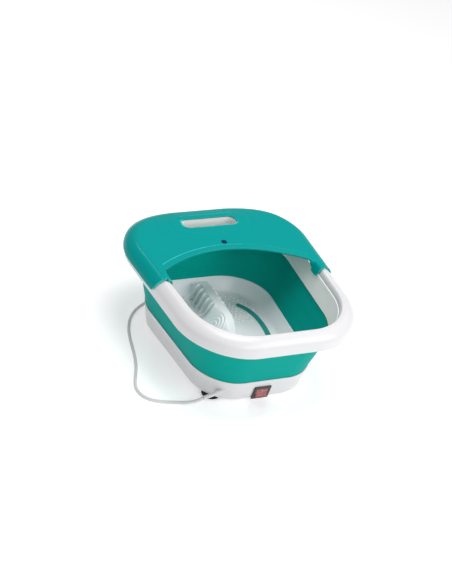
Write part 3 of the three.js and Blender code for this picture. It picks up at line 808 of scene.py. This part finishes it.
# ---- Base ------------------------------------------------------------------
@dataclass
class Base:
    """White housing, pan with its foot wells, feet and bottom plate."""

    floor_top: float = 24.0
    ridge_height: float = 36.0
    ridge_x: float = 5.0
    fin_places: tuple = (64.0, 79.0, 94.0, 109.0, 124.0)
    fin_half: float = 1.3
    nub_pitch: float = 9.0
    nub_field: tuple = (31.0, 65.0, 67.0)
    nub_from_ridge: float = 28.0
    nub_from_strip: float = 9.5
    strip_half: float = 5.5
    foot_radius: float = 17.0
    front_feet: tuple = ((-83.0, -121.0), (76.0, -112.0))
    rear_foot: tuple = (78.0, 106.0)
    hollow_squeeze: float = 1.3
    hollow_share: float = 0.8
    motor_roof: float = 1.2
    switch_place: tuple = (-2.0, -156.1, 21.0)
    switch_tilt: float = math.radians(10.5)
    cord_hole: float = 4.5
    floor_inset: float = 79.5
    under_z: float = 21.2
    pan_middle_y: float = 20.0

    def housing(self) -> bpy.types.Object:
        """Outer skin carried round the outline, with the switch and cord holes cut."""
        profile = rounded([[64.8, 6.2], [63.0, 8.5], [60.3, 20], [56.7, 40], [54.0, 50.6], [55.6, 50.6],
                           [57.3, 44], [59.2, 40], [62.8, 20], [65.4, 8.5], [66.6, 6.2]], 1.4, 4)
        obj = make_piece("base_shell", skin(PLAN.rings(profile), loop=True), 50)
        tilt = Matrix.Rotation(self.switch_tilt, 3, "X")
        block = np.array([[x, y, z] for z in (-11.3, 11.3) for y in (-15, 15) for x in (-14.3, 14.3)])
        block = placed(block, tilt, self.switch_place)
        order = [[0, 1, 3, 2], [4, 6, 7, 5], [0, 4, 5, 1], [2, 3, 7, 6], [0, 2, 6, 4], [1, 5, 7, 3]]
        start, end = np.array([-66.0, -147.1, 31.6]), np.array([-100.0, -147.1, 20.1])
        circle = turned([self.cord_hole], [0.0], 32)[0]
        turn = Vector((0, 0, 1)).rotation_difference(Vector(end - start)).to_matrix()
        tube = np.stack([placed(circle, turn, start), placed(circle, turn, end)])
        drill(obj, make_piece("cut_switch", Shell(block, order)),
              make_piece("cut_cord", skin(tube, caps=(0, -1))))
        return obj

    def _ridge(self, x: np.ndarray, y: np.ndarray) -> np.ndarray:
        """Height of the central ridge above the floor: a long profile H(y) times a cross profile that is flat
        on top and falls by a smoothstep to its foot, with ring ripples about one point on the left flank."""
        across = x - self.ridge_x
        rear = smoothstep(50, 60, y)
        long = smoothstep(-56, 28, y) * (1 - 0.5 * smoothstep(126, 150, y))
        right_foot = mix(9.0, 23.0, smoothstep(-56, 30, y)) - 7.5 * rear
        left_foot = mix(10.0, 44.0, smoothstep(-50, 16, y)) * (1 - rear) + 15.5 * rear
        right_flat = 0.42 + 0.1 * rear
        left_flat = 0.06 * (1 - rear) + 0.52 * rear
        foot, flat = np.where(across > 0, right_foot, left_foot), np.where(across > 0, right_flat, left_flat)
        fall = 1 - smoothstep(0.0, 1.0, (np.abs(across) / foot - flat) / (1 - flat))
        height = self.ridge_height * long * fall
        ring = np.hypot(x + 21.0, y - 22.0)
        ripple = 1.1 * np.cos(2 * math.pi * ring / 5.4) * (1 - smoothstep(20, 28, ring)) * (1 - rear)
        return height + ripple * smoothstep(1.5, 9.0, height)

    def pan(self) -> bpy.types.Object:
        """Floor as nested outlines from the middle out, lifted by the ridge, then the border wall and
        underside."""
        edge = rounded([[self.floor_inset, 24], [73.6, 26.4], [62.4, 44.5], [59.4, 51], [57.7, 51],
                        [60.1, 44], [72, 25], [78, 21.5]], 3.0, 5, closed=False, support=0.8)
        turns = PLAN.stations(56, 26)
        rim_x, rim_y = PLAN.at(turns, np.full(len(turns), self.floor_inset))
        share = np.linspace(0.012, 1.0, 132)[:, None]
        middle_y = self.pan_middle_y
        x, y = share * rim_x[None], middle_y + share * (rim_y[None] - middle_y)
        z = self.floor_top + self._ridge(x, y) - 0.6 * hump(share - 0.965, 0.02)
        floor = np.stack([x, y, z], -1)
        wall = PLAN.rings(edge[1:], stations=turns)
        below = share[::-2]
        under_x, under_y = below * rim_x[None], middle_y + below * (rim_y[None] - middle_y)
        squeezed = self.ridge_x + self.hollow_squeeze * (under_x - self.ridge_x)
        hollow = self._ridge(squeezed, under_y) * self.hollow_share * smoothstep(0.99, 0.9, below)
        near_motor = (1 - smoothstep(11.0, 14.0, np.abs(under_x))) * smoothstep(-24, -20, under_y) * (
            1 - smoothstep(24, 28, under_y))
        roof = self.floor_top + self._ridge(under_x, under_y) - self.motor_roof - self.under_z
        hollow = mix(hollow, np.maximum(hollow, roof), near_motor)
        under = np.stack([under_x, under_y, self.under_z + hollow], -1)
        lift = self._ridge(wall[..., 0], wall[..., 1])
        wall[..., 2] = np.maximum(wall[..., 2], np.where(wall[..., 2] > 23, 24 + lift * 0.98, 0))
        wall[..., 2] = np.minimum(wall[..., 2], 51.0)
        return make_piece("foot_pan", skin(np.concatenate([floor, wall, under]), caps=(0, -1)), 60)

    def fins(self) -> bpy.types.Object:
        """Ten slats on the ridge's rear flanks: each is one outline in XZ given 2.6 mm of thickness, with the
        outer edge rounded."""
        outline = rounded([[3, 30], [3, 58.8], [11.5, 59.7], [15.0, 57.4], [24.5, 27], [25.5, 23.2],
                           [12, 23.2]], 2.0, 3)
        half = self.fin_half
        shell = Shell(np.zeros((0, 3)), [])
        middle = outline.mean(0)
        for side in (-1, 1):
            for place in self.fin_places:
                offsets = np.array([-half, -0.72 * half, 0.72 * half, half])
                shrink = np.array([0.955, 1.0, 1.0, 0.955])
                flat = middle + (outline[None] - middle) * shrink[:, None, None]
                rings = np.stack([self.ridge_x + side * flat[..., 0],
                                  np.broadcast_to(place + offsets[:, None], flat.shape[:2]), flat[..., 1]],
                                 -1)
                shell = shell.joined(skin(rings, caps=(0, -1)))
        return make_piece("ridge_fins", shell, 50)

    def _strip_path(self, side: int, count: int) -> tuple:
        """Quadratic curve of the bubble strip and its unit tangent."""
        a, b, c = (np.array(p) for p in ([side * 67.0, 93.0], [side * 103.0, 62.0], [side * 84.0, -24.0]))
        t = np.linspace(0, 1, count)[:, None]
        line = a * (1 - t) ** 2 + 2 * b * t * (1 - t) + c * t ** 2
        tangent = 2 * (1 - t) * (b - a) + 2 * t * (c - b)
        return line, tangent / np.linalg.norm(tangent, axis=1, keepdims=True)

    def strip(self, side: int, name: str) -> bpy.types.Object:
        """Bubble strip: a low crowned band along its curve with half-round ends: at distance d from an
        end the half width is w sqrt(1 - (1 - d / w) squared)."""
        count = 90
        line, tangent = self._strip_path(side, count)
        along = np.concatenate([[0], np.cumsum(np.linalg.norm(np.diff(line, axis=0), axis=1))])
        near = np.minimum(along, along[-1] - along)
        near = np.clip(near / self.strip_half, 0.01, 1)
        half = self.strip_half * np.sqrt(np.clip(1 - (1 - near) ** 2, 0.02, 1))
        normal = np.stack([-tangent[:, 1], tangent[:, 0]], -1)
        section = rounded([[-1, 22.9], [1, 22.9], [1, 24.6], [0.82, 25.15], [-0.82, 25.15], [-1, 24.6]],
                          0.25, 3)
        across, height = section[:, 0], section[:, 1]
        xy = line[:, None] + normal[:, None] * (across[None, :, None] * half[:, None, None])
        rings = np.concatenate([xy, np.broadcast_to(height[None, :, None], (count, len(height), 1))], -1)
        return make_piece(name, skin(rings, caps=(0, -1)), 50)

    def nubs(self) -> bpy.types.Object:
        """Massage nubs over the rear of both wells: one low dome of three rings
        and a tip, repeated on a staggered grid."""
        pitch = self.nub_pitch
        rows = np.arange(42, 134, pitch * 0.87)
        cols = np.arange(-104, 105, pitch)
        gx, gy = np.meshgrid(cols, rows)
        gx = gx + (np.arange(len(rows)) % 2)[:, None] * pitch / 2
        spots = np.stack([gx.ravel(), gy.ravel()], -1)
        flat_x, flat_y, reach = self.nub_field
        radius = np.hypot(np.maximum(np.abs(spots[:, 0]) - flat_x, 0), np.maximum(spots[:, 1] - flat_y, 0))
        keep = (np.abs(spots[:, 0] - self.ridge_x) > self.nub_from_ridge) & (radius < reach)
        for side in (-1, 1):
            line, _ = self._strip_path(side, 60)
            gap = np.linalg.norm(spots[:, None] - line[None], axis=2).min(1)
            keep &= gap > self.nub_from_strip
        spots = spots[keep]
        sides = 8
        angle = np.linspace(0, 2 * math.pi, sides, endpoint=False)
        levels = [(2.7, -0.6), (2.5, 0.6), (1.7, 1.9)]
        dome = np.concatenate([np.stack([r * np.cos(angle), r * np.sin(angle), np.full(sides, h)], -1)
                               for r, h in levels] + [[[0, 0, 2.35]]])
        ring = np.arange(sides)
        nxt = (ring + 1) % sides
        quads = np.concatenate([np.stack([k * sides + ring, k * sides + nxt, (k + 1) * sides + nxt,
                                          (k + 1) * sides + ring], -1) for k in range(2)])
        fan = np.stack([2 * sides + ring, 2 * sides + nxt, np.full(sides, 3 * sides)], -1)
        base_z = self.floor_top + self._ridge(spots[:, 0], spots[:, 1]) - 0.25
        centres = np.concatenate([spots, base_z[:, None]], 1)
        count, size = len(centres), len(dome)
        vertices = (centres[:, None] + dome[None]).reshape(-1, 3)
        offset = (np.arange(count) * size)[:, None, None]
        faces = (quads[None] + offset).reshape(-1, 4).tolist() + (fan[None] + offset).reshape(-1, 3).tolist()
        faces += (ring[::-1][None] + offset[:, :, 0]).tolist()
        return make_piece("massage_nubs", Shell(vertices, faces), 80)

    def foot(self, name: str, x: float, y: float) -> bpy.types.Object:
        """Rubber foot: a turned pad with a chamfered tread, two ring grooves and a collar."""
        profile = rounded([[0.0, 5.7], [0.0, 4.2], [-0.8, 3.6], [-0.1, 3.0], [-0.1, 1.3], [-1.5, 0.0],
                           [-6.5, 0.0], [-7.0, 0.6], [-8.4, 0.6], [-8.9, 0.0], [-15.5, 0.0]], 0.45, 3,
                          closed=False, support=0.15)
        rings = turned(self.foot_radius + profile[:, 0], profile[:, 1], 48, (x, y))
        return make_piece(name, skin(rings, caps=(0, -1)), 45)

    def build(self) -> None:
        """Makes every base piece and dresses the nodes that stay."""
        dress(self.housing(), WHITE_ABS, Body.BASE, Slot.WHITE, "base_housing")
        dress(self.pan(), PAN_ABS, Body.BASE, Slot.PAN, "basin_pan")
        dress(self.fins(), PAN_ABS, Body.BASE, Slot.PAN)
        dress(self.nubs(), NUB_ABS, Body.BASE, Slot.PAN)
        for side, word in ((-1, "left"), (1, "right")):
            strip = self.strip(side, f"bubble_band_{word}")
            dress(strip, STRIP_TEAL, Body.BASE, Slot.TEAL, f"bubble_strip_{word}")
            front = self.foot(f"rubber_foot_front_{word}", *self.front_feet[0 if side < 0 else 1])
            rear = self.foot(f"rubber_foot_rear_{word}", side * self.rear_foot[0], self.rear_foot[1])
            dress(front, BLACK_RUBBER, Body.BASE, Slot.RUBBER, f"foot_front_{word}")
            dress(rear, BLACK_RUBBER, Body.BASE, Slot.RUBBER, f"foot_rear_{word}")
        dress_node("bottom_cover", WHITE_ABS)
        dress_node("lower_clamp_ring", GREY_NYLON)
        for number in range(1, 5):
            dress_node(f"cover_screw_{number}", STEEL_ZINC)


@dataclass
class Switch:
    """Rocker switch: bezel, lens and its two marks, drawn square to its own panel with +Y into the base."""

    place: tuple = (-2.0, -156.1, 21.0)
    tilt: float = math.radians(10.5)
    rocker_rest: float = math.radians(-9.0)

    def _seated(self, points: np.ndarray, extra: float = 0.0) -> np.ndarray:
        """Points turned by the panel's tilt, after any turn of the rocker itself, and moved to the switch."""
        turn = Matrix.Rotation(self.tilt, 3, "X") @ Matrix.Rotation(extra, 3, "X")
        return placed(points, turn, self.place)

    def bezel(self) -> bpy.types.Object:
        """Rounded rectangles (half width, half height, depth) carried through the section, radius 1.6 mm."""
        section = np.array([[14, 11, 9], [14, 11, -0.45], [16.9, 14.9, -0.45], [17, 15, -0.8], [17, 15, -2.2],
                            [16.6, 14.6, -2.85], [15.9, 13.9, -3.05], [12.6, 10.6, -3.05],
                            [12.0, 10.0, -2.85], [11.7, 9.7, -2.3], [11.7, 9.7, 9]])
        x, z = rounded_box(section[:, :1], section[:, 1:2], 1.6, 6)
        y = np.broadcast_to(section[:, 2:], x.shape)
        return make_piece("switch_frame", skin(self._seated(np.stack([x, y, z], -1)), loop=True), 50)

    def rocker(self) -> bpy.types.Object:
        """Rocker: its dished side section carried across X, with the end faces drawn in slightly."""
        section = rounded([[-4.4, 8.9], [-3.4, 4.0], [-3.1, 0], [-3.4, -4.0], [-4.4, -8.9], [0.6, -8.9],
                           [4.4, -3], [4.4, 3], [0.6, 8.9]], 0.7, 4, support=0.3)
        x = np.array([-11.3, -10.9, -10.2, 10.2, 10.9, 11.3])
        scale = np.array([0.93, 0.985, 1.0, 1.0, 0.985, 0.93])[:, None]
        rings = np.stack([np.broadcast_to(x[:, None], (6, len(section))), scale * section[:, 0],
                          scale * section[:, 1]], -1)
        return make_piece("rocker_lens", skin(self._seated(rings, self.rocker_rest), caps=(0, -1)), 50)

    def marks(self) -> bpy.types.Object:
        """Plain on and off marks: a bar above and a ring below, raised 0.25 mm from the rocker's face."""
        angle = np.linspace(0, 2 * math.pi, 36, endpoint=False)
        section = np.array([[1.7, 0.0], [1.7, -0.3], [2.5, -0.3], [2.5, 0.0]])
        lean = math.atan2(1.3, 8.9)
        ring = np.stack([section[:, :1] * np.cos(angle), np.broadcast_to(section[:, 1:], (4, 36)),
                         section[:, :1] * np.sin(angle)], -1)
        ring = placed(ring, Matrix.Rotation(lean, 3, "X"), (0, -3.72, -4.9))
        bar_x, bar_z = np.array([-0.45, 0.45, 0.45, -0.45]), np.array([-2.4, -2.4, 2.4, 2.4])
        bar = np.stack([np.stack([bar_x, np.full(4, depth), bar_z], -1) for depth in (0.0, -0.3)])
        bar = placed(bar, Matrix.Rotation(-lean, 3, "X"), (0, -3.72, 4.9))
        shell = skin(ring, loop=True).joined(skin(bar, caps=(0, -1)))
        return make_piece("rocker_marks", Shell(self._seated(shell.vertices, self.rocker_rest), shell.faces),
                          30)

    def build(self) -> None:
        """Makes the switch."""
        dress(self.bezel(), BLACK_NYLON, Body.BASE, Slot.BLACK, "switch_bezel")
        dress(self.rocker(), ROCKER_RED, Body.ROCKER, Slot.RED, "switch_rocker")
        dress(self.marks(), MARK_PALE, Body.ROCKER, Slot.RED)


@dataclass
class Works:
    """Hidden parts between pan and bottom plate, kept from the frame."""

    def build(self) -> None:
        """Gives each its finish."""
        finishes = {
            "vibration_motor": STEEL_ZINC, "motor_bracket": GREY_NYLON, "eccentric_weight": BRASS_BAR,
            "air_pump": BLACK_NYLON, "air_hose_left": GREY_NYLON, "air_hose_right": GREY_NYLON,
            "heater_plate": ALUMINIUM_SHEET, "thermostat": BLACK_NYLON, "thermal_fuse": WHITE_ABS,
            "control_board": BOARD_GREEN, "board_relay": BLACK_NYLON, "terminal_block": WHITE_ABS,
        }
        for name, finish in finishes.items():
            dress_node(name, finish)


@dataclass
class Wall:
    """Folding silicone wall between base and rim."""

    fold_lines: tuple = (58.0, 64.0, 70.0, 88.0, 96.0)
    anchor_z: float = 42.0
    hem_z: float = 129.0
    hem_gap: float = 0.3
    travel: float = 68.0

    def build(self) -> None:
        """Slanted band with a soft kink low down and faint fold lines pressed into its inner face, cut at the
        liner's foot: the band below rides on the base and the hem above on the rim."""
        outer = catmull_rom([[58.8, 42], [55.6, 51], [51.9, 64], [48.3, 76.5], [46.2, 83], [39.9, 106],
                             [33.6, 129], [31.4, 138]], 10)
        inner = catmull_rom([[33.4, 138], [35.7, 129], [42.0, 106], [48.3, 83], [50.4, 76.5], [54.0, 64],
                             [57.5, 51], [60.8, 42]], 10)
        lines = np.array(self.fold_lines)
        inner[:, 0] -= 0.45 * hump(inner[:, 1:] - lines[None], 1.1).sum(1)
        low_outer, low_inner = (line[line[:, 1] <= self.hem_z] for line in (outer, inner))
        wall = make_piece("silicone_wall",
                          skin(PLAN.rings(np.concatenate([low_outer, low_inner])), loop=True), 60)
        dress(wall, TEAL_SILICONE, Body.BASE, Slot.SILICONE, "folding_wall")
        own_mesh(wall)
        top_outer, top_inner = (line[line[:, 1] >= self.hem_z] for line in (outer, inner))
        for line in (top_outer, top_inner):
            line[:, 1] = np.maximum(line[:, 1], self.hem_z + self.hem_gap)
        hem = make_piece("wall_hem", skin(PLAN.rings(np.concatenate([top_outer, top_inner])), loop=True), 60)
        dress(hem, TEAL_SILICONE, Body.RIM, Slot.SILICONE)


@dataclass
class Rim:
    """White rim, its liner and the shelf with the hand slot."""

    slot_y: float = 147.5
    slot_length: float = 112.0
    slot_width: float = 29.0
    slot_radius: float = 12.0

    def slot_ring(self, grow: float, z: np.ndarray, steps: int = 14) -> np.ndarray:
        """Rounded rectangle of the hand slot, grown all round, at each height z."""
        x, y = rounded_box(self.slot_length / 2, self.slot_width / 2, self.slot_radius, steps, grow)
        z = np.atleast_1d(z)[:, None]
        return np.stack(np.broadcast_arrays(x, self.slot_y + y, z), -1)

    def ring(self) -> bpy.types.Object:
        """Rim skin: upright skirt, rounded shoulder, a fine groove and the inner bead."""
        skirt = rounded([[26.8, 168.4], [26.2, 175.6], [22, 177.4], [15.5, 175.2], [8.2, 168.8], [4.8, 161],
                         [4.6, 147.2], [2.0, 147.2], [2.0, 160]], 0.9, 3, closed=False)
        shoulder = catmull_rom([[2.0, 160], [2.4, 163.3], [3.6, 166.9], [6.0, 170.8], [10.5, 175.3],
                                [15.5, 178.6], [19.2, 180.0], [20.8, 180.25]], 6)
        groove = catmull_rom([[20.8, 180.25], [21.7, 179.95], [22.6, 180.35], [24.2, 180.5], [25.8, 179.6],
                              [27.4, 177.0], [28.6, 173.0], [29.2, 168.4]], 6)
        profile = np.concatenate([skirt, shoulder[1:], groove[1:]])
        return make_piece("rim_ring", skin(PLAN.rings(profile, drops=True), loop=True), 60)

    def shelf(self) -> bpy.types.Object:
        """Flat shelf under the cover's rear: rows from the slot's edge out to the rim, with the slot's own
        wall."""
        turns = np.linspace(2.25, 4.75, 140)
        edge_x, edge_y = PLAN.at(turns, np.full(len(turns), 27.4))
        front = np.linspace(edge_x[-1], edge_x[0], 60)[1:-1]
        x = np.concatenate([edge_x, front])
        y = np.concatenate([edge_y, np.full(58, 120.0)])
        outline = np.stack([x, np.maximum(y, 120.0)], -1)
        middle = np.array([0.0, self.slot_y])
        bearing = np.arctan2(outline[:, 1] - middle[1], outline[:, 0] - middle[0])
        slot = self.slot_ring(1.4, np.array([0.0]), 14)[0, :, :2]
        slot_bearing = np.arctan2(slot[:, 1] - middle[1], slot[:, 0] - middle[0])
        order = np.argsort(slot_bearing)
        wanted = np.linspace(-math.pi, math.pi, 180, endpoint=False)
        inner = np.stack([np.interp(wanted, slot_bearing[order], slot[order, k], period=2 * math.pi)
                          for k in range(2)], -1)
        rank = np.argsort(bearing)
        outer = np.stack([np.interp(wanted, bearing[rank], outline[rank, k], period=2 * math.pi)
                          for k in range(2)], -1)
        share = np.array([0.0, 0.03, 0.97, 1.0])[:, None, None]
        flat = inner[None] + (outer - inner)[None] * share
        drop = PLAN.rear_drop(flat[..., 1], np.full(flat.shape[:2], 178.0))
        top = np.concatenate([flat, (174.2 - drop)[..., None]], -1)
        under = np.concatenate([flat[::-1], (171.6 - drop[::-1])[..., None]], -1)
        plate = skin(np.concatenate([top, under]), loop=True)
        section = np.array([[2.6, 150.4], [2.8, 151], [2.8, 178], [2.7, 181.0], [2.2, 181.5], [0.9, 181.5],
                            [0.4, 181.0], [0.3, 178], [0.3, 151], [0.6, 150.3], [1.4, 150.1]])
        wall = np.stack([self.slot_ring(grow, np.array([z]), 14)[0] for grow, z in section])
        wall[..., 2] -= PLAN.rear_drop(wall[..., 1], wall[..., 2])
        return make_piece("rim_shelf", plate.joined(skin(wall, loop=True)), 45)

    def liner(self) -> bpy.types.Object:
        """Inner white wall: a slanted band with a rolled top."""
        profile = rounded([[36.3, 129.2], [29.9, 160], [29.4, 166.8], [29.6, 167.9], [30.0, 167.9],
                           [30.6, 166.0], [31.8, 159], [38.3, 129.2]], 0.5, 4)
        return make_piece("rim_inner_wall", skin(PLAN.rings(profile), loop=True), 60)

    def build(self) -> None:
        """Makes the rim."""
        dress(self.ring(), WHITE_ABS, Body.RIM, Slot.WHITE, "rim_frame")
        # The shelf belongs to the white rim frame; its lighter white is painted light in the shaded hand
        # slot.
        dress(self.shelf(), LIGHTENED_WHITE_ABS, Body.RIM, Slot.WHITE, "rim_frame")
        dress(self.liner(), LIGHTENED_WHITE_ABS, Body.RIM, Slot.WHITE, "rim_liner")


@dataclass
class SplashCover:
    """Teal cover over the rear half of the rim, with an arched opening and a saddle at each end."""

    top: float = 184.0
    thickness: float = 2.2
    front_y: float = -22.0
    end_shift: tuple = (-5.0, 6.0)
    arc_middle: float = 60.0
    arc_end: float = 8.0
    arc_half: float = 150.0
    arc_tilt: float = 0.05
    badge_y: float = 82.0
    arm: float = 30.0
    bar_y: float = 169.5
    bar_half: float = 48.0
    pad_edge: float = 21.0
    oval_edge: float = 33.0
    bump_place: tuple = (171.0, -3.0)
    crease_back: float = 9.6
    tongue_start: float = 9.0
    tongue_length: float = 21.5
    tip_back: tuple = (9.0, 4.5, 11.0)
    tip_reach: float = 42.0
    shift_reach: float = 60.0
    slot: Rim = None

    def _inner_edge(self, count: int) -> tuple:
        """Edge of the opening, right to left: up the arm at x = 150, over the arc y = 60 - 52 (x / 150)
        squared - x / 20 and down the other arm, with its corners softened by a running mean.

        Args:
            count: number of samples.

        Returns:
            Points (count, 2) and their distance along the edge.
        """
        x = np.linspace(self.arc_half, -self.arc_half, 600)
        y = self.arc_middle - (self.arc_middle - self.arc_end) * (x / self.arc_half) ** 2 - self.arc_tilt * x
        arc = np.stack([x, y], -1)
        right = np.stack([np.full(60, x[0]), np.linspace(self.front_y, y[0], 60)], -1)
        left = np.stack([np.full(60, x[-1]), np.linspace(y[-1], self.front_y, 60)], -1)
        line = np.concatenate([right, arc[1:], left[1:]])
        along = np.concatenate([[0], np.cumsum(np.linalg.norm(np.diff(line, axis=0), axis=1))])
        even = np.linspace(0, along[-1], count)
        line = np.stack([np.interp(even, along, line[:, k]) for k in range(2)], -1)
        width = max(3, int(round(6.0 / (even[1] - even[0]))) | 1)
        window = np.hanning(width + 2)[1:-1]
        window /= window.sum()
        reach = width // 2
        ends = np.concatenate([2 * line[0] - line[reach:0:-1], line, 2 * line[-1] - line[-2:-reach - 2:-1]])
        smooth = np.stack([np.convolve(ends[:, k], window, "valid") for k in range(2)], -1)
        along = np.concatenate([[0], np.cumsum(np.linalg.norm(np.diff(smooth, axis=0), axis=1))])
        return smooth, along

    def _relief(self, x: np.ndarray, y: np.ndarray) -> np.ndarray:
        """Raised pad and a wider oval round the slot, its lip, a grip bar behind it and a small bump on each
        saddle.

        The pad is a smoothstep of the distance outside the slot's rounded rectangle."""
        slot = self.slot
        qx = np.maximum(np.abs(x) - (slot.slot_length / 2 - slot.slot_radius), 0)
        qy = np.maximum(np.abs(y - slot.slot_y) - (slot.slot_width / 2 - slot.slot_radius), 0)
        outside = np.hypot(qx, qy) - slot.slot_radius
        wider = np.hypot(qx * 0.8, qy) - slot.slot_radius
        pad = 0.5 * (1 - smoothstep(self.pad_edge - 1.0, self.pad_edge + 1.0, outside))
        pad = pad + 0.6 * hump(outside - self.pad_edge, 1.3)
        oval = 0.5 * (1 - smoothstep(self.oval_edge, self.oval_edge + 7.0, wider))
        lip = 0.5 * hump(outside - 2.4, 1.6)
        bar = 1.9 * hump(y - self.bar_y, 3.8)
        bar = bar * (1 - smoothstep(self.bar_half, self.bar_half + 12.0, np.abs(x)))
        bump = 1.2 * hump(np.hypot(np.abs(x) - self.bump_place[0], y - self.bump_place[1]), 4.0)
        return pad + oval + lip + bar + bump

    def shell(self) -> bpy.types.Object:
        """The cover as one sheet: for each station, rows run from the lip or tongue, over the plate, to the
        skirt."""
        start = 1 + (self.front_y + 96.0) / 182.0
        near = np.linspace(start, start + 0.22, 34, endpoint=False)
        right = np.concatenate([near, np.linspace(start + 0.22, 2, 16, endpoint=False)])
        half = np.concatenate([right, np.linspace(2, 3, 52, endpoint=False), np.linspace(3, 3.5, 20)])
        turns = np.concatenate([half, (7.0 - half[:-1])[::-1]])
        plate_x, plate_y = PLAN.at(turns, np.full(len(turns), 21.0))
        edge, along = self._inner_edge(900)
        total = along[-1]
        outer_x, outer_y = PLAN.at(turns, np.zeros(len(turns)))
        outer_along = np.concatenate([[0], np.cumsum(np.hypot(np.diff(outer_x), np.diff(outer_y)))])
        place = np.interp(outer_along, [0, self.arm, outer_along[-1] - self.arm, outer_along[-1]],
                          [0, self.arm, total - self.arm, total])
        qx, qy = (np.interp(place, along, edge[:, k]) for k in range(2))
        tx, ty = (np.gradient(v) for v in (qx, qy))
        size = np.hypot(tx, ty)
        nx, ny = -ty / size, tx / size
        away = np.minimum(place, total - place)
        past = np.clip(away - self.tongue_start, 0, None) / self.tongue_length
        tongue = np.sqrt(np.clip(1 - past ** 2, 0, 1))
        # Rows of the inner edge: [towards the basin, height], from the bottom up.
        lip_rows = catmull_rom([[-0.9, 180.6], [0.0, 181.2], [0.5, 182.6], [0.3, 183.9], [-0.7, 184.7],
                                [-2.2, 184.35], [-3.6, 184.0]], 3)
        tongue_rows = catmull_rom([[5.6, 163.8], [4.9, 168.5], [3.8, 173.5], [2.5, 178.0], [0.9, 181.6],
                                   [-1.4, 183.6], [-3.6, 184.0]], 3)
        rows = mix(lip_rows[:, None], tongue_rows[:, None], tongue[None, :, None])
        fx, fy = qx + nx * rows[..., 0], qy + ny * rows[..., 0]
        inner = np.stack([fx, fy, rows[..., 1]], -1)
        # Plate rows run from the lip's back to the outline at inset 21, closer together near the lip.
        fine = np.array([1, 2.5, 4.5, 6.5, 8, 8.8, 9.6, 10.4, 11.2, 12.0, 13.0, 14.5])
        reach = np.hypot(plate_x - fx[-1], plate_y - fy[-1])
        near_share = fine[:, None] / np.maximum(reach, 32.0)[None]
        rest = mix(near_share[-1:], np.ones_like(near_share[-1:]), np.linspace(0, 1, 84)[1:, None])
        share = np.concatenate([near_share, rest])
        px, py = mix(fx[-1:], plate_x[None], share), mix(fy[-1:], plate_y[None], share)
        crease = 0.8 * hump(share * reach[None] - self.crease_back, 0.9) * smoothstep(24, 50, away)[None]
        plate = np.stack([px, py, self.top + crease], -1)
        skirt = catmull_rom([[21, 184], [14.8, 182.3], [8.5, 178.5], [3.3, 173.0], [0.1, 167.5],
                             [-1.3, 162.0], [-1.5, 157.2]], 5)[1:]
        outer = PLAN.rings(skirt, stations=turns)
        sheet = np.concatenate([inner, plate, outer])
        sheet[..., 2] += self._relief(sheet[..., 0], sheet[..., 1]) * smoothstep(179, 183, sheet[..., 2])
        sheet[..., 2] -= PLAN.rear_drop(sheet[..., 1], sheet[..., 2])
        # Saddle ends: each row's end is drawn back so that the lobe and the tongue have rounded tips.
        n_in, n_plate, n_out = len(inner), len(plate), len(outer)
        lip_back, edge_back, skirt_back = self.tip_back
        down_in = np.linspace(1, 0, n_in)
        down_out = np.linspace(0, 1, n_out)
        back = np.concatenate([lip_back * (1 - np.sqrt(np.clip(1 - down_in ** 2.6, 0, 1))),
                               edge_back * np.linspace(0, 1, n_plate) ** 1.5,
                               edge_back + skirt_back * (1 - np.sqrt(np.clip(1 - down_out ** 2.4, 0, 1)))])
        outer_away = np.minimum(outer_along, outer_along[-1] - outer_along)
        fade = 1 - smoothstep(0, self.tip_reach, outer_away)
        sheet[..., 1] += back[:, None] * fade[None]
        right_side = np.arange(len(turns)) < len(turns) // 2
        sheet[..., 1] += np.where(right_side, self.end_shift[0], self.end_shift[1])[None] * (
            1 - smoothstep(0, self.shift_reach, outer_away))[None]
        roll = 0.7 * hump(outer_away - 2.2, 1.8)
        rolled = np.concatenate([np.zeros(n_in), np.ones(n_plate), 1 - down_out])
        sheet[..., 2] += roll[None] * rolled[:, None]
        obj = make_piece("splash_shell", skin(sheet, around=False), 50, recalculate=False)
        up = obj.data.polygons[(n_in + 40) * (len(turns) - 1) + len(turns) // 2].normal.z
        if up < 0:
            obj.data.flip_normals()
        wall = obj.modifiers.new("wall", "SOLIDIFY")
        wall.thickness, wall.offset, wall.use_even_offset = self.thickness * MM, -1.0, True
        freeze(obj, 50)
        cutter = self.slot.slot_ring(0.0, np.array([150.0, 200.0]), 14)
        drill(obj, make_piece("cut_slot", skin(cutter, caps=(0, -1))))
        bevel(obj, 0.5, 2, 50)
        return obj

    def badge(self) -> bpy.types.Object:
        """Plain round badge: a low turned button."""
        profile = rounded([[0.8, 185.1], [4.9, 185.05], [5.5, 184.7], [5.5, 184.05], [0.8, 184.05]], 0.25, 3,
                          closed=False)
        rings = turned(profile[:, 0], profile[:, 1], 48, (0.0, self.badge_y))
        return make_piece("round_badge", skin(rings, caps=(0, -1)), 40)

    def build(self) -> None:
        """Makes the cover."""
        dress(self.shell(), TEAL_ABS, Body.COVER, Slot.TEAL, "splash_cover")
        dress(self.badge(), BADGE_NAVY, Body.COVER, Slot.BADGE, "cover_badge")


def main() -> None:
    """Builds the studio and every sub-assembly, in order."""
    logging.basicConfig(level=logging.INFO, format="%(message)s", stream=sys.stdout)
    studio = Studio()
    studio.camera()
    MainsLead().build()
    Base().build()
    Switch().build()
    Works().build()
    Wall().build()
    rim = Rim()
    rim.build()
    SplashCover(slot=rim).build()
    studio.build()


if __name__ == "__main__":
    main()
